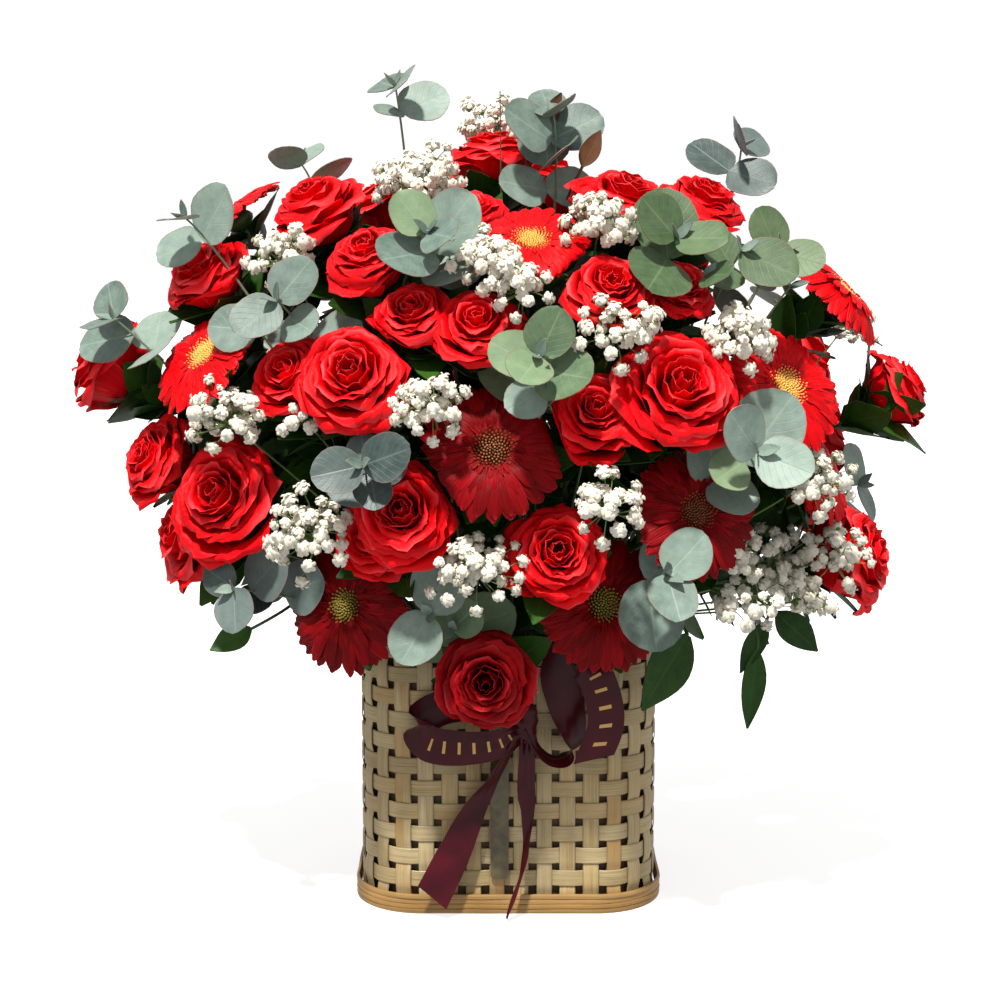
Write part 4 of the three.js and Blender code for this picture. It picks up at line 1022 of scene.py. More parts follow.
def disc(pile, seat, rng, material, reach):
    """Florets of the disc in a sunflower spiral, taller and looser at its rim"""
    total = int(DISC_CROWD * reach ** 2)
    for i in range(total):
        share = math.sqrt((i + 0.5) / total)
        around = i * GOLDEN_TURN
        r = reach * share
        tall = 0.035 + 0.075 * share ** 3 * rng.uniform(0.7, 1.15)
        wide = 0.017 + 0.004 * rng.random()
        lean = 0.06 * share ** 3
        base = np.array([r * math.cos(around), r * math.sin(around), 0.085 + 0.05 * (1 - share ** 2)])
        tip = base + [lean * math.cos(around), lean * math.sin(around), tall]
        angles = np.arange(4) * TAU / 4 + around
        ring = np.stack([np.cos(angles), np.sin(angles), np.zeros(4)], axis=-1)
        points = np.concatenate([
            base + ring * wide - [0, 0, 0.03], tip + ring * wide * 0.85 - [0, 0, 0.2 * tall],
            [tip], [base - [0, 0, 0.04]],
        ])
        tone = rng.random()
        marks = np.array([[share, along, tone] for along in DISC_ALONG])
        pile.add(seat.place(points), [DISC_WALL, DISC_CAPS], material, marks)


# Where each stem, leaf and floret of the solids went, found again by its corners

def tree_of(node):
    """Corners of a solid, for quick search"""
    vertices = frame["nodes"][node].data.vertices
    tree = KDTree(len(vertices))
    for i, vertex in enumerate(vertices):
        tree.insert(vertex.co / MM, i)
    tree.balance()
    return tree


def hits(tree, points, reach=0.15):
    """How many of the points are corners of the solid"""
    return sum(1 for point in points if tree.find(Vector(point))[2] < reach)


def ways(end, arrival):
    """Controls for a bend, in the order in which the solids tried them, and the steps they add"""
    first, second, _ = frame_along(arrival)
    for shift in PATH_SHIFTS:
        for back in PATH_BACKS:
            for turn in range(8 if shift else 1):
                angle = turn * math.pi / 4
                point = end - arrival * back + first * math.cos(angle) * shift
                yield point + second * math.sin(angle) * shift, 0
    out = unit(vec(end[0], end[1], 0))
    for lift in PATH_HOOKS:
        control = end + out * 8
        yield vec(control[0], control[1], end[2] + lift), 1


def found_path(tree, start, end, arrival, steps, radii, sides, tail=()):
    """Control of the bend that a stem of the solids follows, or None where it has no stem"""
    best, best_control = 2, None
    for control, extra in ways(end, arrival):
        points = list(bend(start, control, end, steps + extra)) + list(tail)
        rings = rod_rings(points, radii(len(points)), sides)
        count = hits(tree, rings[1:].reshape(-1, 3))
        if count > best:
            best, best_control = count, control
    return best_control


def leaf_frame(direction, facing):
    """Directions along a leaf, out of its face, and across it"""
    along = unit(direction)
    face = unit(facing - along * float(facing @ along))
    return along, face, np.cross(face, along)


def leaf_corners(base, direction, facing, length, width, shape):
    """Outline of a leaf as the solids have it"""
    along, face, across = leaf_frame(direction, facing)
    corners = []
    for a, b in shape:
        lift = LEAF_CUP * length * (abs(b) * 1.6 + (0.6 if a > 0.9 else 0))
        corners.append(base + along * a * length + across * b * width + face * lift)
    return corners


def blade(pile, base, direction, facing, length, width, material, rng, pointed, rows=9, cols=7):
    """Leaf over the outline of its solid, cupped, waved at its edge, and bent along its midrib"""
    along, face, across = leaf_frame(direction, facing)
    eased = 0.5 - 0.5 * np.cos(np.linspace(0, math.pi, rows))
    a = (eased * 0.5 + np.linspace(0, 0.5, rows))[:, None]
    b = np.linspace(-1, 1, cols)[None, :]
    if pointed:
        half = 0.47 * np.sin(np.pi * np.clip(a, 0.015, 0.985) ** 0.78) ** 0.85
    else:
        inner = np.clip(a, 0.004, 0.994)
        half = 0.49 * (4 * inner * (1 - inner)) ** 0.47 * (1.04 - 0.12 * a)
    half = half * (1 + 0.04 * np.sin(a * 7 + rng.uniform(0, TAU)) * np.sign(b))
    lift = LEAF_CUP * length * (np.abs(b * half) * 1.7 + 0.35 * a ** 3)
    lift = lift + 0.02 * length * np.sin(a * 6 + rng.uniform(0, TAU)) * np.abs(b) ** 2 * np.sign(b + 0.01)
    lift = lift + rng.uniform(-0.05, 0.03) * length * a ** 2
    spread = along * (a * length)[..., None] + across * (b * half * width)[..., None]
    grid = base + spread + face * lift[..., None]
    shell(pile, grid, LEAF_THICK, material, grid_marks(b, a, rng.random()))


def shell_of(nodes):
    """Tree of the faces of several solids, for tests of room"""
    points, faces = [], []
    for node in nodes:
        mesh = frame["nodes"][node].data
        start = len(points)
        points.extend(vertex.co / MM for vertex in mesh.vertices)
        faces.extend([start + corner for corner in polygon.vertices] for polygon in mesh.polygons)
    return BVHTree.FromPolygons(points, faces)


def shell_of_petals():
    """Tree of all the fine petals, for tests of leaves against them"""
    points, faces, count = [], [], 0
    for piece in bpy.context.scene.objects:
        if not piece.name.endswith("_petals") or "back" in piece.name:
            continue
        mesh = piece.data
        places = np.empty(len(mesh.vertices) * 3, dtype=np.float32)
        mesh.vertices.foreach_get("co", places)
        points.append(places.reshape(-1, 3) / MM)
        mesh.calc_loop_triangles()
        corners = np.empty(len(mesh.loop_triangles) * 3, dtype=np.int32)
        mesh.loop_triangles.foreach_get("vertices", corners)
        faces.append(corners.reshape(-1, 3) + count)
        count += len(mesh.vertices)
    return BVHTree.FromPolygons(np.concatenate(points).tolist(), np.concatenate(faces).tolist())


def outside(tree, point, room):
    """True where a point is outside the solids by at least room"""
    place, normal, _, distance = tree.find_nearest(Vector(point))
    return distance > room and (Vector(point) - place).dot(normal) > 0


def open_way(tree, start, end, room):
    """True where nothing of the solids lies between two points"""
    step = Vector(end) - Vector(start)
    return tree.ray_cast(Vector(start), step.normalized(), step.length + room)[0] is None


def peg_of(rows, turn):
    """Place of a foot that leans towards its sprigs"""
    lean = unit(np.sum([[row[0], row[1], 0] for row in rows], axis=0))
    x = lean[0] * math.cos(turn) - lean[1] * math.sin(turn)
    y = lean[0] * math.sin(turn) + lean[1] * math.cos(turn)
    return vec(x * FOOT_SPREAD[0], y * FOOT_SPREAD[1], PEG_TOP)


def found_foot(tree, rows):
    """Foot of a row, by the lowest ring of its peg"""
    def score(turn):
        """Corners of the solid that a peg at this turn meets"""
        foot = peg_of(rows, turn)
        low = vec(foot[0], foot[1], PEG_TOP - PEG_LENGTH)
        rings = rod_rings([low, foot + [0, 0, 2]], [PEG_RADIUS * 0.6, PEG_RADIUS], 4)
        return hits(tree, rings[0])
    return peg_of(rows, max(FOOT_TURNS, key=score))


def peg(pile, foot, material):
    """Pointed foot that stands in the foam"""
    low = vec(foot[0], foot[1], PEG_TOP - PEG_LENGTH)
    heights = np.linspace(0, 1, 5)
    points = [low + (foot + [0, 0, 2] - low) * h for h in heights]
    tube(pile, points, PEG_RADIUS * np.array([0.5, 0.75, 0.9, 1.0, 0.7]), 8, material)


def flower_stems(blooms):
    """Stems, their swellings and leaves, the dark leaves on stems of their own, and the dry tips"""
    node = "flower_stems"
    tree = tree_of(node)
    pile = Pile(GREEN_STEM, GREEN_LEAF, DRY_TWIG, DRY_LEAF)
    rng = np.random.default_rng(SEEDS["stems"])
    bundle = [STEM_ROOT + [0, 0, up] for up in (-BUNDLE_LENGTH, -20, 6, 16)]
    tube(pile, bundle, [6, 11, STEM_KNOT, 6], 12, GREEN_STEM)
    room = shell_of([name for name in frame["nodes"] if name != node])
    paths = []
    for index, bloom in enumerate(blooms):
        axis = bloom["axis"]
        low = CALYX[bloom["kind"]][1]
        foot = np.array(bloom["centre"]) + axis * bloom["radius"] * low
        end, top = foot - axis * NECK_LENGTH, foot - axis * GAP
        control = found_path(
            tree, STEM_ROOT, end, axis, 2,
            lambda count: [STEM_RADIUS] * (count - 2) + NECK_SOLID, 3, [top])
        if control is None:
            continue
        points = list(bend(STEM_ROOT, control, end, 12)) + [foot - axis * NECK_LENGTH / 2, top]
        tube(pile, points, [STEM_RADIUS] * 12 + NECK_FINE, 7, GREEN_STEM, rng.random())
        paths.append(points)
        for turn in range(8 if index % STEM_LEAF_EVERY == 0 else 0):
            angle = (turn + pick(index)) * math.pi / 4
            side = vec(math.cos(angle), math.sin(angle), 0.9) @ frame_along(axis)
            base = foot - axis * 12
            corners = leaf_corners(base, side, axis, STEM_LEAF, STEM_LEAF * STEM_LEAF_SHARE, POINTED_LEAF)
            if hits(tree, corners[1:]) >= LEAF_HITS:
                blade(pile, base, side, axis, STEM_LEAF, STEM_LEAF * STEM_LEAF_SHARE, GREEN_LEAF, rng, True)
                break
    for base, tip, width in LONG_LEAVES:
        long_leaf(pile, tree, vec(*base), vec(*tip), width, rng)
    loose_leaves(pile, rng)
    dry_tips(pile, tree)
    filler_leaves(pile, paths, room, rng)
    return pile.make(node + "_fine", "stem", [node])


def loose_leaves(pile, rng):
    """Leaves of the picture, each on a free twig"""
    for start, base, tip, width, kind in LOOSE_LEAVES:
        base, tip = vec(*base), vec(*tip)
        along = unit(tip - base)
        length = float(np.linalg.norm(tip - base))
        twig, leaf = (DRY_TWIG, DRY_LEAF) if kind == "dry" else (GREEN_STEM, GREEN_LEAF)
        tube(pile, bend(vec(*start), base - along * 30, base, 10), [1.1] * 11, 6, twig)
        blade(pile, base, along, vec(0, -1, 0.5), length, width, leaf, rng, True, 13, 9)


def dry_tips(pile, tree):
    """Thin dry twigs that end above the blooms, where the solids have them"""
    arrival = unit(vec(0, -0.1, 1))
    for tip in DRY_TIPS:
        end = vec(*tip)
        control = found_path(
            tree, STEM_ROOT, end, arrival, 3, lambda count: [1] * (count - 1) + [0.5], 3)
        if control is not None:
            tube(pile, bend(STEM_ROOT, control, end, 14), np.linspace(0.9, 0.35, 15), 5, DRY_TWIG)


def long_leaf(pile, tree, start, tip, width, rng):
    """Long leaf on a stem of its own, where the solids have it"""
    along = tip - start
    length = float(np.linalg.norm(along))
    along = along / length
    arrival = unit(along + unit(start - STEM_ROOT))
    facing = unit(vec(start[0] * 0.4, start[1], 40))
    corners = leaf_corners(start, along, facing, length, width, POINTED_LEAF)
    if hits(tree, corners[1:]) < LEAF_HITS:
        return
    control = found_path(tree, STEM_ROOT, start, arrival, 3, lambda count: [1.2] * count, 3)
    if control is not None:
        tube(pile, bend(STEM_ROOT, control, start, 12), [1.2] * 13, 6, GREEN_STEM, rng.random())
    dry = start[2] > DRY_ABOVE
    blade(pile, start, along, facing, length, width, DRY_LEAF if dry else GREEN_LEAF, rng, True, 13, 9)


FILLER_TRIES = 120
FILLER_APART = 10
FILLER_LENGTHS = (24, 58)
FILLER_SHARE = 0.6
FILLER_ROOM = 0.8
FILLER_CLEAR = 0.5


def filler_leaves(pile, paths, room, rng):
    """More leaves on the stems, wherever one has room between the blooms"""
    placed = []
    for points in paths:
        for _ in range(FILLER_TRIES):
            at = rng.uniform(3, 12.9)
            low = int(at)
            base = points[low] + (points[low + 1] - points[low]) * (at - low)
            out = unit(points[low + 1] - points[low])
            basis = frame_along(out)
            angle = rng.uniform(0, TAU)
            direction = unit(vec(math.cos(angle), math.sin(angle), rng.uniform(0.2, 1.1)) @ basis)
            length = rng.uniform(*FILLER_LENGTHS)
            width = length * FILLER_SHARE
            face = unit(out + 0.3 * rng.standard_normal(3))
            along, face, across = leaf_frame(direction, face)
            outline = [base + along * a * length + across * b * width for a, b in POINTED_LEAF[1:]]
            if any(np.linalg.norm(base + along * length / 2 - other) < FILLER_APART for other in placed):
                continue
            if not all(outside(room, point, FILLER_ROOM) for point in outline):
                continue
            start = base + along * 3
            if not all(open_way(room, start, point, FILLER_CLEAR) for point in outline):
                continue
            sides = [(outline[i], outline[i - 1]) for i in range(len(outline))]
            if not all(open_way(room, one, two, FILLER_CLEAR) for one, two in sides):
                continue
            placed.append(base + along * length / 2)
            blade(pile, base, direction, face, length, width, GREEN_LEAF, rng, True, 5, 3)


# Sprigs of another green, or of a darker leaf that is painted shade: number of the piece and place in its row
SHADED_SPRIGS = {(1, 3), (1, 1), (3, 2)}
GREEN_SPRIGS = {(2, 2), (4, 3)}
OLIVE_SPRIGS = {(3, 0), (3, 1)}
OLIVE_PIECE = 3
# What is tried for a leaf, in this order: shares of its size, tilts and turns round the twig,
# pushes outwards with a share of its size, and shares of its turn to the front
FREE_SCALES = (1, 0.8, 0.62)
FREE_TILTS = (0.15, 0.5, 0.95, 1.2)
FREE_ROLLS = (0, 0.4, -0.4, 0.8, -0.8, 1.2, -1.2)
LEAF_PUSHES = ((0, 1.0), (4, 1.0), (8, 1.0), (0, 0.85), (8, 0.85), (12, 0.85), (12, 0.7))
FACE_SHARES = (1.0, 0.6, 1.5, 0.25, 0.0)
QUARTER_TURN = 1.57
TWIG_TIP = 0.65
BUD_SHARE = 0.34
LEAF_APART = 0.42
LEAF_ROOM = 1.0
LEAF_CLEAR = 0.3
GREEN_CHANCE = 0.1
HIGH_SPRIG = 480
FRONT_SPRIG = 30
# More sprigs where the picture has a crowd of leaves: number of the piece, tip, leaf length, pairs, turn
MORE_SPRIGS = [
    [3, 150, -128, 462, 44, 2, 0.8], [3, 184, -114, 438, 42, 1, 0.7], [3, 126, -136, 446, 36, 1, 0.8],
    [0, -168, -132, 418, 38, 2, 0.8], [2, 22, -194, 384, 34, 2, 0.9], [4, -52, -146, 226, 40, 1, 1.0],
]


def round_corners(base, out, face, wide):
    """Outline of a round leaf without its foot"""
    return leaf_corners(base, out, face, wide, wide * ROUND_SHARE, ROUND_LEAF)[1:]


def leaf_way(basis, angle, tilt):
    """Direction of a leaf round its twig"""
    return unit(vec(math.cos(angle), math.sin(angle), math.tan(tilt)) @ basis)


def crossings(petals, base, out, face, wide):
    """How many petals the spokes and the outline of a leaf pass through"""
    corners = [Vector(point) for point in round_corners(base, out, face, wide)]
    start = Vector(base + out * 4)
    runs = [(start, corner) for corner in corners]
    runs += [(corners[i], corners[i - 1]) for i in range(len(corners))]
    count = 0
    for one, two in runs:
        step = two - one
        if petals.ray_cast(one, step.normalized(), step.length)[0] is not None:
            count += 1
    return count


def best_face(petals, base, out, axis, wide, turn, rng):
    """Seat, facing and size of a leaf that passes through the fewest petals"""
    choices = []
    outwards = unit(axis + unit(FRONT) * 1.5)
    for push, scale in LEAF_PUSHES:
        for share in FACE_SHARES:
            face = unit(axis + FRONT * turn * share + 0.12 * rng.standard_normal(3))
            seat = base + outwards * push
            count = crossings(petals, seat, out, face, wide * scale)
            if count == 0:
                return seat, face, wide * scale
            choices.append((count, push - 20 * scale, len(choices), seat, face, wide * scale))
    return min(choices, key=lambda item: item[:3])[3:]


def leaf_on_stalk(pile, petals, base, out, axis, wide, turn, rng, material):
    """Round leaf, on a short stalk of its own where it stands off the twig"""
    seat, face, wide = best_face(petals, base, out, axis, wide, turn, rng)
    if np.linalg.norm(seat - base) > 1:
        tube(pile, bend(base, (base + seat) / 2 + out, seat + out, 4), [0.6] * 5, 5, GREY_TWIG, 0.5)
    blade(pile, seat, out, face, wide, wide * 0.98, material, rng, False, 10, 9)


def more_sprig(pile, room, petals, foot, row, placed, rng, material):
    """Sprig that only the fine model has, on a twig from the same foot"""
    x, y, z, length, pairs, turn = row
    tip = vec(x, y, z)
    axis = axis_of(x, y, z, turn)
    points = bend(foot, tip - axis * 70, tip, 16)
    tube(pile, points, np.linspace(TWIG_RADIUS, TWIG_TIP, 17), 6, GREY_TWIG, rng.random())
    basis = frame_along(axis)
    for pair in range(pairs):
        base = tip - axis * (2 + pair * PAIR_STEP)
        for hand in range(2):
            start = hand * math.pi + pair * QUARTER_TURN + rng.uniform(0, 0.6)
            out, wide = free_leaf(room, placed, base, basis, axis, length * rng.uniform(0.85, 1.05), start)
            if out is None:
                continue
            placed.append((base + out * wide / 2, wide))
            leaf_on_stalk(pile, petals, base, out, axis, wide, rng.uniform(0.6, 1.4), rng, material)
    bud(pile, tip, axis, length * BUD_SHARE, rng)


def eucalyptus(rows, node, number, room, petals):
    """Twigs with round leaves in pairs: those of the solids, and more where there is room"""
    tree = tree_of(node)
    pile = Pile(EUCALYPTUS_LEAF, GREENER_LEAF, OLIVE_LEAF, SHADED_LEAF, GREY_TWIG)
    rng = np.random.default_rng(SEEDS["eucalyptus"] + number)
    foot = found_foot(tree, rows)
    peg(pile, foot, GREY_TWIG)
    leaves = 0
    placed = []
    for index, (x, y, z, length, pairs, turn) in enumerate(rows):
        tip = vec(x, y, z)
        axis = axis_of(x, y, z, turn)
        control = found_path(
            tree, foot, tip, axis, TWIG_STEPS,
            lambda count: [TWIG_RADIUS * (1 - 0.45 * i / count) for i in range(count)], 3)
        if control is None:
            continue
        points = bend(foot, control, tip, 16)
        tube(pile, points, np.linspace(TWIG_RADIUS, TWIG_TIP, 17), 7, GREY_TWIG, rng.random())
        basis = frame_along(axis)
        for pair in range(pairs + 1):
            base = tip - axis * (2 + pair * PAIR_STEP)
            size = length * (0.78 + 0.22 * min(pair, 1)) * (0.9 + 0.2 * pick(pair + index * 7 + leaves))
            for hand in range(2):
                start = hand * math.pi + pair * QUARTER_TURN + pick(index + 3) * 3
                out = found_leaf(tree, base, basis, axis, size, start) if pair < pairs else None
                if out is not None:
                    leaves += 1
                    wide = size
                else:
                    out, wide = free_leaf(room, placed, base, basis, axis, size, start)
                if out is None:
                    continue
                placed.append((base + out * wide / 2, wide))
                turn_more = rng.uniform(0.5, 1.1) * (2 if z > HIGH_SPRIG else 1) * (y < FRONT_SPRIG)
                green = (number, index) in GREEN_SPRIGS or rng.random() < GREEN_CHANCE
                leaf = GREENER_LEAF if green else EUCALYPTUS_LEAF
                # Sprigs listed for painted shade get the darker leaf copy
                if (number, index) in SHADED_SPRIGS:
                    leaf = SHADED_LEAF
                elif (number, index) in OLIVE_SPRIGS:
                    leaf = OLIVE_LEAF
                leaf_on_stalk(pile, petals, base, out, axis, wide, turn_more, rng, leaf)
        bud(pile, tip, axis, length * BUD_SHARE, rng)
    for place, *row in MORE_SPRIGS:
        if place == number:
            leaf = OLIVE_LEAF if number == OLIVE_PIECE else EUCALYPTUS_LEAF
            more_sprig(pile, room, petals, foot, row, placed, rng, leaf)
    return pile.make(node + "_fine", "eucalyptus", [node])


def free_leaf(room, placed, base, basis, axis, size, start):
    """Direction and size of one more leaf at a joint, clear of the blooms and of its neighbours"""
    for scale in FREE_SCALES:
        wide = size * scale
        for tilt in FREE_TILTS:
            for roll in FREE_ROLLS:
                out = leaf_way(basis, start + roll, tilt)
                middle = base + out * wide / 2
                if any(np.linalg.norm(middle - other) < LEAF_APART * (wide + own) for other, own in placed):
                    continue
                if clear_leaf(room, base, out, axis, wide):
                    return out, wide
    return None, 0


def clear_leaf(room, base, out, axis, wide):
    """True where the spokes and the outline of a leaf cross none of the solids"""
    corners = round_corners(base, out, axis, wide)
    start = base + out * 3
    points = [start, base + out * wide / 2, *corners]
    if not all(outside(room, point, LEAF_ROOM) for point in points):
        return False
    if not all(open_way(room, start, point, LEAF_CLEAR) for point in corners):
        return False
    return all(open_way(room, corners[i], corners[i - 1], LEAF_CLEAR) for i in range(len(corners)))


def found_leaf(tree, base, basis, axis, size, start):
    """Direction of the leaf of the solids that grows here, or None where there is none"""
    best, choice = 2, None
    for tilt in LEAF_TILTS:
        for roll in LEAF_ROLLS:
            out = leaf_way(basis, start + roll, tilt)
            count = hits(tree, round_corners(base, out, axis, size))
            if count > best:
                best, choice = count, out
    return choice


def bud(pile, tip, axis, size, rng):
    """Two young leaves, still half shut, at the tip of a twig"""
    basis = frame_along(axis, rng.uniform(0, TAU))
    for hand in (1, -1):
        out = unit(axis * 1.5 + basis[0] * hand)
        face = -basis[0] * hand
        blade(pile, tip - axis * 2, out, face, size, size * 0.55, EUCALYPTUS_LEAF, rng, True, 7, 5)


# Corners and faces of the small core of a head, in the order in which the solids use them
GOLDEN = (1 + math.sqrt(5)) / 2
CORE_CORNERS = np.array([
    [-1, GOLDEN, 0], [1, GOLDEN, 0], [-1, -GOLDEN, 0], [1, -GOLDEN, 0],
    [0, -1, GOLDEN], [0, 1, GOLDEN], [0, -1, -GOLDEN], [0, 1, -GOLDEN],
    [GOLDEN, 0, -1], [GOLDEN, 0, 1], [-GOLDEN, 0, -1], [-GOLDEN, 0, 1],
]) / math.hypot(1, GOLDEN)
CORE_FACES = [
    [0, 11, 5], [0, 5, 1], [0, 1, 7], [0, 7, 10], [0, 10, 11],
    [1, 5, 9], [5, 11, 4], [11, 10, 2], [10, 7, 6], [7, 1, 8],
    [3, 9, 4], [3, 4, 2], [3, 2, 6], [3, 6, 8], [3, 8, 9],
    [4, 9, 5], [2, 4, 11], [6, 2, 10], [8, 6, 7], [9, 8, 1],
]


def on_ball(polar, around, reach):
    """Point on a ball by two angles and a reach"""
    return [reach * math.sin(polar) * math.cos(around), reach * math.sin(polar) * math.sin(around),
            reach * math.cos(polar)]


PETALS_OF_FLORET = 14
PETAL_TOP = [[0, 1, 5], [1, 2, 5], [2, 3, 5], [3, 4, 5], [4, 0, 5]]
PETAL_UNDER = [[0, 2, 1], [0, 3, 2], [0, 4, 3]]


def floret_form(rng):
    """Small double flower of unit radius that looks along +Z: notched petals over a calyx"""
    points, faces, marks, slots = [], [], [], []
    for i in range(PETALS_OF_FLORET):
        polar = 0.12 + 1.95 * math.sqrt((i + 0.3) / PETALS_OF_FLORET) * rng.uniform(0.92, 1.08)
        around = i * GOLDEN_TURN + rng.uniform(-0.3, 0.3)
        spread = 0.5 / max(math.sin(min(polar, 1.57)), 0.45)
        reach = rng.uniform(0.86, 1.08)
        first = len(points)
        points += [
            on_ball(polar - 0.45, around, 0.55), on_ball(polar + 0.05, around - spread, 0.84 * reach),
            on_ball(polar + 0.3, around - 0.5 * spread, 1.0 * reach),
            on_ball(polar + 0.22, around + 0.45 * spread, 0.94 * reach),
            on_ball(polar, around + spread, 0.85 * reach), on_ball(polar - 0.05, around, 0.97 * reach),
        ]
        marks += [[0, 0.2, 0.5]] * 6
        for face in PETAL_TOP + PETAL_UNDER:
            faces.append([first + corner for corner in face])
            slots.append(0)
    ball = len(points)
    points += [list(corner * 0.78) for corner in CORE_CORNERS]
    marks += [[0, 0.2, 0.5]] * 12
    faces += [[ball + corner for corner in face] for face in CORE_FACES]
    slots += [0] * 20
    cup = len(points)
    for k in range(5):
        around = k * TAU / 5
        points.append([0.42 * math.cos(around), 0.42 * math.sin(around), -0.6])
    points += [[0, 0, -1.0], [0, 0, -0.2]]
    marks += [[0, 0.2, 0.5]] * 7
    for k in range(5):
        after = (k + 1) % 5
        faces += [[cup + after, cup + k, cup + 5], [cup + k, cup + after, cup + 6]]
        slots += [1, 1]
    return np.array(points, dtype=float), np.array(faces), np.array(marks, dtype=float), np.array(slots)


FORM_RNG = np.random.default_rng(SEEDS["florets"])
FORMS = [floret_form(FORM_RNG) for _ in range(5)]


def floret(pile, tip, direction, radius, rng):
    """One of the ready forms, turned at random"""
    points, faces, marks, slots = FORMS[rng.integers(len(FORMS))]
    basis = frame_along(unit(direction + 0.25 * rng.standard_normal(3)), rng.uniform(0, TAU))
    placed = points @ basis * radius + tip
    for slot, material in enumerate((BREATH_PETAL, THIN_STALK)):
        used = faces[slots == slot]
        index = np.unique(used)
        local = np.searchsorted(index, used)
        pile.add(placed[index], [local], material, marks[index])


def stalk(pile, start, end, rng, radius=0.42):
    """Hair-thin stalk with a slight bow"""
    middle = (start + end) / 2 + rng.standard_normal(3) * 0.06 * np.linalg.norm(end - start)
    tube(pile, bend(start, middle, end, 3), [radius] * 3 + [radius * 0.8], 3, THIN_STALK, rng.random())


MORE_FLORETS = 330
MOST_FLORETS = 58
FLORET_ROOM = 7.4
FLORET_CLEAR = 2.6
LOWEST_ALONG = -0.35
LOWEST_UP = -0.3
SPRAY_TIP = 0.6
# Most florets of some heads: number of the piece and place in its row
THIN_HEADS = {(4, 0): 30, (2, 0): 40, (1, 3): 46, (3, 1): 34}
# Heads that only the fine model has: number of the piece, middle, radius, most florets
MORE_HEADS = [
    [4, 166, -118, 232, 30, 40], [4, 190, -108, 226, 26, 26], [4, 150, -118, 222, 22, 18],
    [4, 152, -124, 256, 18, 12], [0, -40, -132, 470, 20, 18], [2, -132, -140, 352, 20, 16],
]


def breath(rows, node, number, room):
    """Branching sprays: a floret where the solids have one, and smaller ones between them"""
    tree = tree_of(node)
    pile = Pile(BREATH_PETAL, THIN_STALK)
    rng = np.random.default_rng(SEEDS["breath"] + number)
    foot = found_foot(tree, rows)
    peg(pile, foot, THIN_STALK)
    for index, (x, y, z, size, turn) in enumerate(rows):
        tip = vec(x, y, z)
        axis = axis_of(x, y, z, turn)
        control = found_path(
            tree, foot, tip, axis, TWIG_STEPS, lambda count: [SPRAY_RADIUS] * count, 3)
        seat = found_head(tree, tip, axis, index)
        if seat is None:
            continue
        if control is None:
            control = tip - axis * PATH_BACKS[0]
        points = list(bend(foot, control, tip, 14))
        if np.linalg.norm(seat - tip) > 1:
            points.append(seat)
        radii = np.linspace(SPRAY_RADIUS, SPRAY_TIP, len(points))
        tube(pile, points, radii, 6, THIN_STALK, rng.random())
        most = THIN_HEADS.get((number, index), MOST_FLORETS)
        head(pile, tree, seat, axis, index, size, room, rng, most)
    for place, x, y, z, size, most in MORE_HEADS:
        if place == number:
            tip = vec(x, y, z)
            axis = axis_of(x, y, z, 0.7)
            points = bend(foot, tip - axis * 60, tip, 12)
            tube(pile, points, np.linspace(SPRAY_RADIUS, SPRAY_TIP, 13), 5, THIN_STALK)
            spray(pile, tip, axis, size, room, rng, most, [])
    return pile.make(node + "_fine", "baby_breath", [node])


def found_head(tree, tip, axis, index):
    """Middle of the head of the solids, or None where it has none"""
    corners = CORE_CORNERS * CORE_RADIUS @ frame_along(axis, index)
    best, place = 3, None
    for step in range(HEAD_STEPS):
        middle = tip + axis * HEAD_STEP * step
        count = hits(tree, corners + middle)
        if count > best:
            best, place = count, middle
    return place


def head(pile, tree, middle, axis, index, size, room, rng, most):
    """Head of baby's breath: florets of the solids first, then more"""
    basis = frame_along(axis, index)
    corners = CORE_CORNERS * CORE_RADIUS @ basis + middle
    tips = []
    for face, (a, b, c) in enumerate(CORE_FACES):
        foot = corners[[b, c, a]]
        direction = unit(foot.mean(axis=0) - middle)
        for shrink in FLORET_SHRINKS:
            length = size * shrink * (0.78 + 0.34 * pick(face + index * 20))
            arms = foot - middle
            arms = arms - np.outer(arms @ direction, direction)
            arms /= np.linalg.norm(arms, axis=1)[:, None]
            wide = middle + direction * (length - FLORET_RADIUS * 0.9) + arms * FLORET_RADIUS
            if hits(tree, [*wide, middle + direction * length]) >= 2:
                end = middle + direction * (length - FLORET_RADIUS * 0.75)
                tips.append(end)
                stalk(pile, middle, end - direction * 2, rng)
                floret(pile, end, direction, FLORET_RADIUS * rng.uniform(1.05, 1.45), rng)
                break
    spray(pile, middle, axis, size, room, rng, most, tips)


def spray(pile, middle, axis, size, room, rng, most, tips):
    """Florets between those of the solids, in uneven lobes, wherever they have room"""
    lobes = np.array([unit(unit(rng.standard_normal(3)) + axis * 0.8) for _ in range(4)])
    for _ in range(MORE_FLORETS):
        direction = unit(rng.standard_normal(3))
        if direction @ axis < LOWEST_ALONG or direction[2] < LOWEST_UP or len(tips) > most:
            continue
        bulge = float(np.max(np.clip(lobes @ direction, 0, 1)) ** 5)
        length = size * rng.uniform(0.3, 0.72 + 0.5 * bulge)
        end = middle + direction * length
        if any(np.linalg.norm(end - other) < FLORET_ROOM for other in tips):
            continue
        if not outside(room, end, FLORET_CLEAR) or not open_way(room, middle, end, 1.0):
            continue
        tips.append(end)
        joint = middle + direction * length * 0.35 + rng.standard_normal(3) * 1.5
        stalk(pile, middle, joint, rng, 0.45)
        stalk(pile, joint, end - direction * 2, rng, 0.38)
        floret(pile, end, direction, rng.uniform(3.4, 6.2), rng)


# Basket

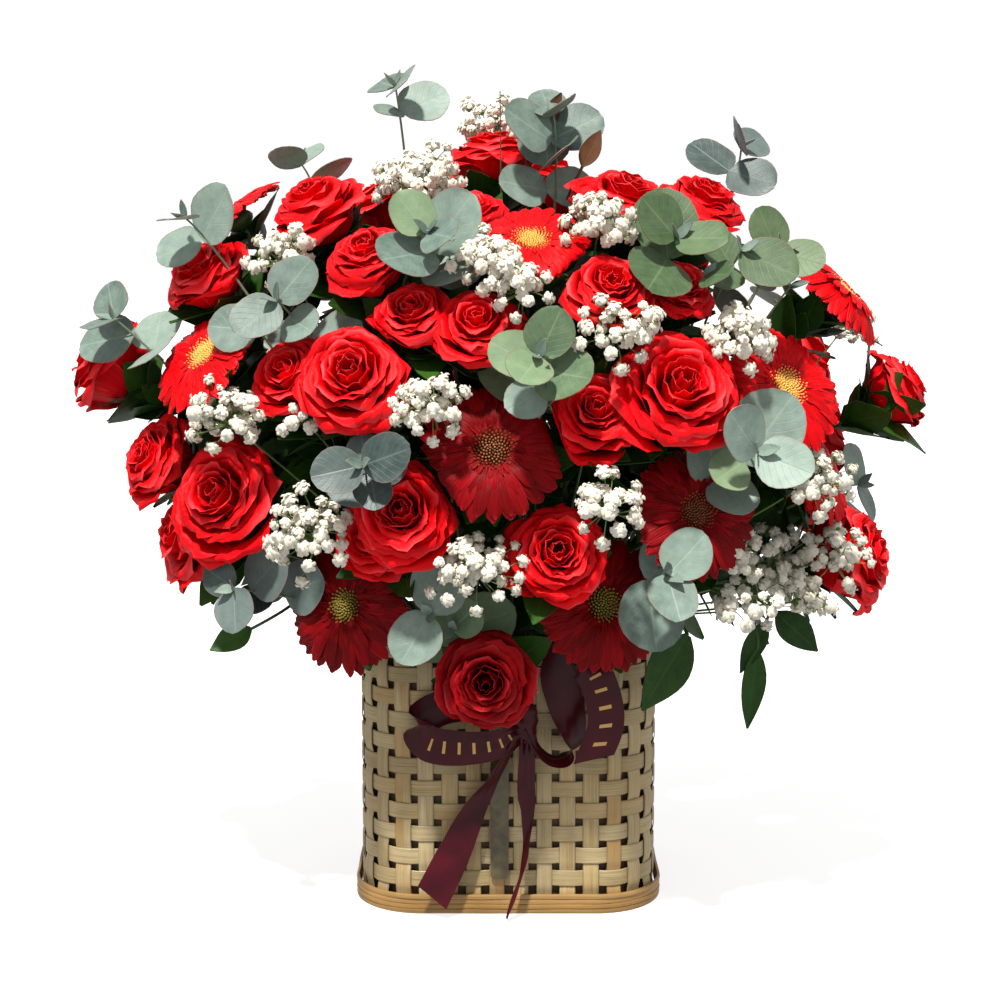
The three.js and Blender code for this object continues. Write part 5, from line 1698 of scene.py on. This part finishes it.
def wall_at(length, offset=0.0):
    """Point, tangent and outward normal at a length along the wall line, from the middle of +X"""
    straight_x = 2 * (BASKET_HALF_WIDTH - BASKET_CORNER)
    straight_y = 2 * (BASKET_HALF_DEPTH - BASKET_CORNER)
    arc = BASKET_CORNER * math.pi / 2
    runs = [straight_y / 2, arc, straight_x, arc, straight_y, arc, straight_x, arc, straight_y / 2]
    rest = length % sum(runs)
    point = vec(BASKET_HALF_WIDTH, 0)
    heading = math.pi / 2
    for i, run in enumerate(runs):
        part = min(rest, run)
        ahead = vec(math.cos(heading), math.sin(heading))
        if i % 2 == 0:
            point = point + ahead * part
        else:
            turn = part / BASKET_CORNER
            inwards = vec(-math.sin(heading), math.cos(heading))
            middle = point + inwards * BASKET_CORNER
            heading += turn
            point = middle + vec(math.sin(heading), -math.cos(heading)) * BASKET_CORNER
        rest -= part
        if rest <= 1e-9:
            break
    normal = vec(math.sin(heading), -math.cos(heading), 0)
    tangent = vec(math.cos(heading), math.sin(heading), 0)
    return vec(point[0], point[1], 0) + normal * offset, tangent, normal


FLOOR_POINTS = 96
HOOP_POINTS = 150
WEAVER_POINTS = 6
CROSSING_FLAT = 3.2
STRIP_OUTLINE = [(-1, -0.3), (-0.9, 0.42), (0, 0.55), (0.9, 0.42), (1, -0.3), (0, -0.5)]
WALL_LENGTH = 4 * (BASKET_HALF_WIDTH + BASKET_HALF_DEPTH - 2 * BASKET_CORNER) + TAU * BASKET_CORNER


def strip(pile, middles, across, out, width, thick, material, tone, closed=False):
    """Strip with rounded edges along points: across and out are directions at each point"""
    rings = np.stack([
        middles + across * (b * width / 2) + out * c * thick for b, c in STRIP_OUTLINE
    ], axis=1)
    count, sides = rings.shape[:2]
    at = np.arange(count * sides).reshape(count, sides)
    if closed:
        at = np.concatenate([at, at[:1]])
    after = np.roll(at, -1, axis=1)
    wall = np.stack([after[:-1], at[:-1], at[1:], after[1:]], axis=-1).reshape(-1, 4)
    faces = [wall]
    if not closed:
        faces.append(np.array([at[0], at[-1][::-1]]))
    steps = np.linalg.norm(np.diff(middles, axis=0), axis=1)
    along = np.concatenate([[0], np.cumsum(steps)]) * MM
    marks = np.zeros((count * sides, 3))
    marks[:, 0] = np.tile([b for b, _ in STRIP_OUTLINE], count)
    marks[:, 1] = np.repeat(along, sides)
    marks[:, 2] = tone
    pile.add(rings.reshape(-1, 3), faces, material, marks)


def over_under(phase):
    """Side to side over crossings at whole numbers, flat over each crossing"""
    return np.tanh(CROSSING_FLAT * np.cos(math.pi * phase)) / math.tanh(CROSSING_FLAT)


def basket_stakes():
    """Upright strips, each over one weaver and under the next, and the floor they grow from"""
    pile = Pile(BAMBOO)
    rng = np.random.default_rng(SEEDS["stakes"])
    heights = np.arange(STAKE_LOW, STAKE_HIGH, STAKE_STEP)
    for i in range(WEAVE_STAKES):
        point, tangent, normal = wall_at((i + 0.5) * WALL_LENGTH / WEAVE_STAKES)
        phase = (heights - WEAVE_FIRST) / WEAVE_PITCH
        swing = STRIP_SWING * over_under(phase) * (1 if i % 2 else -1)
        drift = 0.35 * np.sin(heights * 0.021 + rng.uniform(0, TAU))
        middles = point + np.outer(swing, normal) + np.outer(drift, tangent) + np.outer(heights, [0, 0, 1])
        width = STRIP_WIDTH * rng.uniform(0.93, 1.05)
        strip(pile, middles, np.tile(tangent, (len(heights), 1)), np.tile(normal, (len(heights), 1)),
              width, STRIP_THICK, BAMBOO, rng.random())
    floor_plate(pile, BAND_INNER - GAP - 1.5)
    return pile.make("basket_stakes_fine", "bamboo", ["basket_stakes"])


def floor_plate(pile, offset):
    """Floor of the basket"""
    places = np.linspace(0, WALL_LENGTH, FLOOR_POINTS + 1)[:-1]
    ring = np.array([wall_at(place, offset)[0] for place in places])
    points = np.concatenate([ring, ring + [0, 0, FLOOR_THICK], [[0, 0, 0], [0, 0, FLOOR_THICK]]])
    marks = np.stack([points[:, 0] / 20, points[:, 1] * MM, np.full(len(points), 0.3)], axis=-1)
    pile.add(points, ring_faces(2, len(ring)), BAMBOO, marks)


def basket_weavers():
    """Level strips, each over one stake and under the next"""
    pile = Pile(BAMBOO)
    rng = np.random.default_rng(SEEDS["weavers"])
    total = WEAVE_STAKES * WEAVER_POINTS
    for row in range(WEAVE_ROWS):
        phase = np.arange(total) / WEAVER_POINTS
        seats = [wall_at(place * WALL_LENGTH / WEAVE_STAKES) for place in phase]
        side = over_under(phase - 0.5) * (-1 if row % 2 else 1)
        wave = 0.4 * np.sin(phase * TAU / WEAVE_STAKES * 3 + rng.uniform(0, TAU))
        z = WEAVE_FIRST + row * WEAVE_PITCH + wave
        normals = np.array([seat[2] for seat in seats])
        middles = np.array([seat[0] for seat in seats]) + normals * (STRIP_SWING * side)[:, None]
        middles[:, 2] = z
        ups = np.tile([0, 0, 1.0], (total, 1))
        width = STRIP_WIDTH * rng.uniform(0.95, 1.04)
        strip(pile, middles, -ups, normals, width, STRIP_THICK, BAMBOO, rng.random(), True)
    return pile.make("basket_weavers_fine", "bamboo", ["basket_weaver"])


def hoop(pile, offset, z, high, thick, material, tone, rng):
    """Half-round cane strand round the basket"""
    seats = [wall_at(i * WALL_LENGTH / HOOP_POINTS) for i in range(HOOP_POINTS)]
    normals = np.array([seat[2] for seat in seats])
    around = np.arange(HOOP_POINTS) * TAU / HOOP_POINTS
    wobble = 0.16 * np.sin(around * 5 + rng.uniform(0, TAU)) + 0.1 * np.sin(around * 13 + rng.uniform(0, TAU))
    middles = np.array([seat[0] for seat in seats]) + normals * (offset + wobble)[:, None]
    middles[:, 2] = z + 0.12 * np.sin(around * 7 + rng.uniform(0, TAU))
    downs = np.tile([0, 0, -1.0], (HOOP_POINTS, 1))
    strip(pile, middles, downs, normals, high, thick, material, tone, True)


def cane_band(name, node, low, high, strands, inner, outer, seed, material):
    """Band of cane strands, one over the other"""
    pile = Pile(material)
    rng = np.random.default_rng(seed)
    step = (high - low) / strands
    thick = outer - inner
    for i in range(strands):
        z = low + step * (i + 0.5)
        offset = (inner + outer) / 2 - rng.uniform(0, 0.35)
        hoop(pile, offset, z, step * 0.99, thick, material, rng.random(), rng)
    return pile.make(name, "cane", [node])


# Ribbon: stations are a point, the direction of the width, and the width there
KNOT = vec(11, -91, 140)
KNOT_SIZE = vec(9, 9, 14)
RIBBON_WIDTH = 25
UP = vec(0, 0, 1)
TILT = vec(0.8, 0.1, 0.5)
LEFT_LOOP = [
    ((8, -92, 143), UP, 14), ((-18, -87, 149), UP, 20), ((-46, -87, 148), vec(0.1, 0.1, 1), 24),
    ((-62, -93, 138), vec(0.35, 0.35, 1), RIBBON_WIDTH), ((-55, -101, 127), vec(-0.2, 0.2, 1), RIBBON_WIDTH),
    ((-32, -103, 124), UP, 24), ((-8, -101, 126), UP, 20), ((8, -97, 134), UP, 14),
]
RIGHT_LOOP = [
    ((13, -96, 136), vec(0.2, 0.8, 0.6), 12), ((19, -97, 122), vec(0.2, 1, 0.3), 14),
    ((30, -96, 113), vec(0.1, 1, 0.2), 16), ((41, -95, 116), vec(-0.1, 1, 0.4), 18),
    ((45, -92, 130), vec(0.8, 0.7, -0.2), 22), ((39, -89, 152), vec(1, 0.1, 0.2), RIBBON_WIDTH),
    ((34, -88, 172), vec(1, -0.1, 0.25), RIBBON_WIDTH), ((40, -91, 185), vec(1, -0.3, -0.3), RIBBON_WIDTH),
    ((53, -98, 181), vec(0.8, -0.2, -0.5), RIBBON_WIDTH), ((62, -102, 166), vec(1, 0, 0.15), RIBBON_WIDTH),
    ((66, -103, 142), vec(1, 0.1, 0), RIBBON_WIDTH), ((58, -102, 116), vec(1, 0.2, -0.3), RIBBON_WIDTH),
]
WIDE_TAIL = [
    ((6, -96, 132), vec(0.6, 1, 0.3), 9), ((-8, -93, 104), vec(0.8, 0.6, 0.4), 13),
    ((-24, -91, 76), TILT, 17), ((-38, -93, 46), TILT, 23), ((-53, -97, 16), TILT, RIBBON_WIDTH),
]
NARROW_TAIL = [
    ((13, -96, 132), vec(1, 0.2, 0), 10), ((12, -94, 97), vec(1, 0.4, 0), 13),
    ((13, -91, 70), vec(0.8, -0.7, 0), 10), ((10, -93, 36), vec(0.3, -1, 0), 8),
    ((-1, -99, 2), vec(0.1, -1, 0.1), 7),
]


# Each run of the ribbon: stations, share from which it has the motif, folds at its ends, slant of its cut
NO_MOTIF = 2
RIBBON_RUNS = [
    (LEFT_LOOP, 0.55, 1.0, 1.0, 0.0), (RIGHT_LOOP, 0.68, 1.0, 0.0, -7.0),
    (WIDE_TAIL, NO_MOTIF, 1.0, 0.0, 3.0), (NARROW_TAIL, NO_MOTIF, 1.0, 0.4, 0.0),
]
RIBBON_STEPS = 9
SATIN_THICK = 0.35
FOLD_REACH = 0.14
CUT_FROM = 0.86
KNOT_INNER = 0.55


def smooth_row(values, steps):
    """Curve through rows of values, with an even number of steps between them"""
    values = np.array(values, dtype=float)
    padded = np.concatenate([[2 * values[0] - values[1]], values, [2 * values[-1] - values[-2]]])
    rows = []
    for i in range(1, len(padded) - 2):
        p0, p1, p2, p3 = padded[i - 1:i + 3]
        for k in range(steps):
            t = k / steps
            rows.append(0.5 * (2 * p1 + (p2 - p0) * t + (2 * p0 - 5 * p1 + 4 * p2 - p3) * t * t
                               + (3 * p1 - p0 - 3 * p2 + p3) * t ** 3))
    rows.append(values[-1])
    return np.array(rows)


def satin_band(pile, stations, printed_from, rng, start_folds, end_folds, cut):
    """Ribbon through its stations, gathered into folds where it enters the knot"""
    middles = smooth_row([station[0] for station in stations], RIBBON_STEPS)
    widths = smooth_row([[station[2]] for station in stations], RIBBON_STEPS)[:, 0]
    across = smooth_row([station[1] for station in stations], RIBBON_STEPS)
    along = np.gradient(middles, axis=0)
    along /= np.linalg.norm(along, axis=1)[:, None]
    across = across - along * np.sum(across * along, axis=1)[:, None]
    across /= np.linalg.norm(across, axis=1)[:, None]
    flat = np.cross(along, across)
    share = np.linspace(0, 1, len(middles))[:, None]
    u = np.linspace(-1, 1, 13)[None, :]
    gather = start_folds * np.exp(-share / FOLD_REACH) + end_folds * np.exp(-(1 - share) / FOLD_REACH)
    phase = rng.uniform(0, TAU)
    depth = gather * 1.5 * np.cos(u * math.pi * 2.6 + phase) + 0.7 * (1 - u ** 2) * np.sin(share * 9 + phase)
    depth = depth + 0.35 * np.sin(share * 31 + u * 2.0 + phase)
    slant = cut * u * np.clip((share - CUT_FROM) / FOLD_REACH, 0, 1)
    grid = (middles[:, None, :] + across[:, None, :] * (u * widths[:, None] / 2)[..., None]
            + flat[:, None, :] * depth[..., None] + along[:, None, :] * slant[..., None])
    length = float(np.sum(np.linalg.norm(np.diff(middles, axis=0), axis=1)))
    marks = grid_marks(u, share * length * MM, 0.0)
    marks[..., 2] = np.where(share > printed_from, 1.0, 0.0)
    shell(pile, grid, SATIN_THICK, SATIN, marks)
    return length


def satin_knot(pile):
    """Ribbon wound once round the middle of the bow, as a folded barrel"""
    u = np.linspace(-1, 1, 15)[:, None]
    around = np.linspace(0, TAU, 33)[None, :]
    bulge = np.sqrt(np.clip(1 - 0.72 * u ** 2, 0, 1))
    crease = 1 + 0.05 * np.cos(u * 11 + np.sin(around)) + 0.03 * np.sin(around * 3 + u * 4)
    x = KNOT[0] + KNOT_SIZE[0] * bulge * crease * np.cos(around)
    y = KNOT[1] + KNOT_SIZE[1] * 0.95 * bulge * crease * np.sin(around)
    z = KNOT[2] + KNOT_SIZE[2] * u + 1.5 * np.sin(around)
    grid = np.stack(np.broadcast_arrays(x, y, z), axis=-1)
    rows, cols = grid.shape[:2]
    inner = grid.copy()
    inner[..., :2] = KNOT[:2] + (grid[..., :2] - KNOT[:2]) * KNOT_INNER
    points = np.concatenate([grid[:, :-1].reshape(-1, 3), inner[:, :-1].reshape(-1, 3)])
    ring = cols - 1
    at = np.arange(rows * ring).reshape(rows, ring)
    after = np.roll(at, -1, axis=1)
    outer = np.stack([at[:-1], after[:-1], after[1:], at[1:]], axis=-1).reshape(-1, 4)
    back = outer[:, ::-1] + rows * ring
    low = np.stack([after[0], at[0], at[0] + rows * ring, after[0] + rows * ring], axis=-1)
    top = np.stack([at[-1], after[-1], after[-1] + rows * ring, at[-1] + rows * ring], axis=-1)
    marks = np.zeros((len(points), 3))
    marks[:, 0] = np.tile(np.repeat(u[:, 0], ring), 2)
    marks[:, 1] = np.tile(np.tile(around[0, :-1] * 0.01, rows), 2)
    pile.add(points, [outer, back, low, top], SATIN, marks)


def ribbon():
    """Bow and tails, as one piece"""
    pile = Pile(SATIN)
    rng = np.random.default_rng(SEEDS["ribbon"])
    length = 0
    for stations, printed_from, start_folds, end_folds, cut in RIBBON_RUNS:
        length += satin_band(pile, stations, printed_from, rng, start_folds, end_folds, cut)
    satin_knot(pile)
    piece = pile.make("ribbon_bow_satin", "ribbon", ["ribbon_bow"])
    return piece


# Making

def dress_frame():
    """Materials of the nodes that stay as they are"""
    for node, material in (("basket_liner", LINER), ("floral_foam", FOAM), ("front_splint", SPLINT)):
        slots = frame["nodes"][node].data.materials
        slots.clear()
        slots.append(material)


def make_blooms(blooms):
    """One piece for each node of roses or gerberas"""
    front = 0
    for number, node in enumerate(dict.fromkeys(bloom["node"] for bloom in blooms)):
        members = [bloom for bloom in blooms if bloom["node"] == node]
        if members[0]["kind"] == "rose":
            # Roses listed for painted shade get the darker petal copy
            petals = SHADED_ROSE if node in SHADED_NODES else ROSE
            pile = Pile(petals, GREEN_STEM, GREEN_LEAF)
            for k, bloom in enumerate(members):
                rose(pile, bloom, blooms, number * 10 + k, petals)
            pile.make(node + "_petals", "rose", [node])
        else:
            eye = EYES[front] if front < len(EYES) else "golden"
            front += 1
            # Gerberas listed for painted shade get the darker petal copy
            petals = SHADED_GERBERA if node in SHADED_NODES else GERBERA
            pile = Pile(petals, EYE[eye], GREEN_STEM)
            gerbera(pile, members[0], blooms, number, eye, petals)
            pile.make(node + "_petals", "gerbera", [node])


def camera():
    """The photographer's camera"""
    data = bpy.data.cameras.new("camera")
    data.lens = CAMERA_LENS
    data.clip_end = CAMERA_REACH
    viewer = bpy.data.objects.new("camera", data)
    viewer.location = CAMERA_PLACE
    viewer.rotation_euler = (math.pi / 2 - CAMERA_PITCH, 0, 0)
    bpy.context.scene.collection.objects.link(viewer)
    bpy.context.scene.camera = viewer


ROOM_SIZE = 9.0
# Base and glow of the floor, and of the walls
PALE = (("pale_floor", 0.4, 0.78), ("pale_wall", 0.0, 1.05))
WORLD_LIGHT = 0.64
SUN_LIGHT = 5.6
SUN_SPREAD = math.radians(4)
SUN_COLOUR = (1.0, 0.97, 0.92)
SUN_FROM = (-0.16, -0.46, 1.0)


def world_light():
    """Even light from all round"""
    world = bpy.data.worlds.new("studio")
    world.use_nodes = True
    sky = world.node_tree.nodes["Background"]
    sky.inputs["Color"].default_value = (1.0, 1.0, 1.0, 1)
    sky.inputs["Strength"].default_value = WORLD_LIGHT
    bpy.context.scene.world = world


def sunlight():
    """Sun from high in front, a little to the left"""
    data = bpy.data.lights.new("sun", "SUN")
    data.energy = SUN_LIGHT
    data.angle = SUN_SPREAD
    data.color = SUN_COLOUR
    sun = bpy.data.objects.new("sun", data)
    sun.rotation_euler = Vector(SUN_FROM).to_track_quat("Z", "Y").to_euler()
    bpy.context.scene.collection.objects.link(sun)


def pale_room():
    """Pale floor and walls, which neither light nor mirror nor shade the object"""
    mesh = bpy.data.meshes.new("floor")
    corners = [(x * ROOM_SIZE, y * ROOM_SIZE) for x, y in ((-1, -1), (1, -1), (1, 1), (-1, 1))]
    points = [(x, y, z) for z in (0, ROOM_SIZE) for x, y in corners]
    walls = [(i, i + 4, (i + 1) % 4 + 4, (i + 1) % 4) for i in range(4)]
    mesh.from_pydata(points, [], [(0, 1, 2, 3), *walls])
    floor = bpy.data.objects.new("floor", mesh)
    for name, base, glow in PALE:
        material, _, shader = new_material(name)
        shader.inputs["Base Color"].default_value = (base, base, base, 1)
        shader.inputs["Roughness"].default_value = 0.9
        shader.inputs["Specular IOR Level"].default_value = 0.0
        shader.inputs["Emission Color"].default_value = (1, 1, 1, 1)
        shader.inputs["Emission Strength"].default_value = glow
        mesh.materials.append(material)
    for wall in mesh.polygons[1:]:
        wall.material_index = 1
    floor.visible_diffuse = False
    floor.visible_glossy = False
    floor.visible_shadow = False
    bpy.context.scene.collection.objects.link(floor)


camera()
blooms = blooms_of()
settle(blooms)
make_blooms(blooms)
flower_stems(blooms)
solid = shell_of([name for name in frame["nodes"] if not name.startswith(("baby", "eucalyptus", "flower"))])
petals = shell_of_petals()
for number, rows in enumerate(EUCALYPTUS):
    eucalyptus(rows, f"eucalyptus_{number + 1}", number, solid, petals)
free = shell_of([name for name in frame["nodes"] if not name.startswith("baby")])
for number, rows in enumerate(BREATH):
    breath(rows, f"baby_breath_{number + 1}", number, free)
basket_stakes()
basket_weavers()
cane_band(
    "basket_foot_cane", "basket_base_band", BAND_LOW, BAND_HEIGHT, BAND_STRANDS, BAND_INNER, BAND_OUTER,
    SEEDS["foot_cane"], CANE)
cane_band(
    "basket_rim_cane", "basket_rim_band", RIM_BOTTOM, RIM_TOP, 1, -RIM_HALF, RIM_HALF,
    SEEDS["rim_cane"], BAMBOO)
ribbon()
dress_frame()
world_light()
sunlight()
pale_room()
bpy.context.scene.view_settings.view_transform = "Standard"
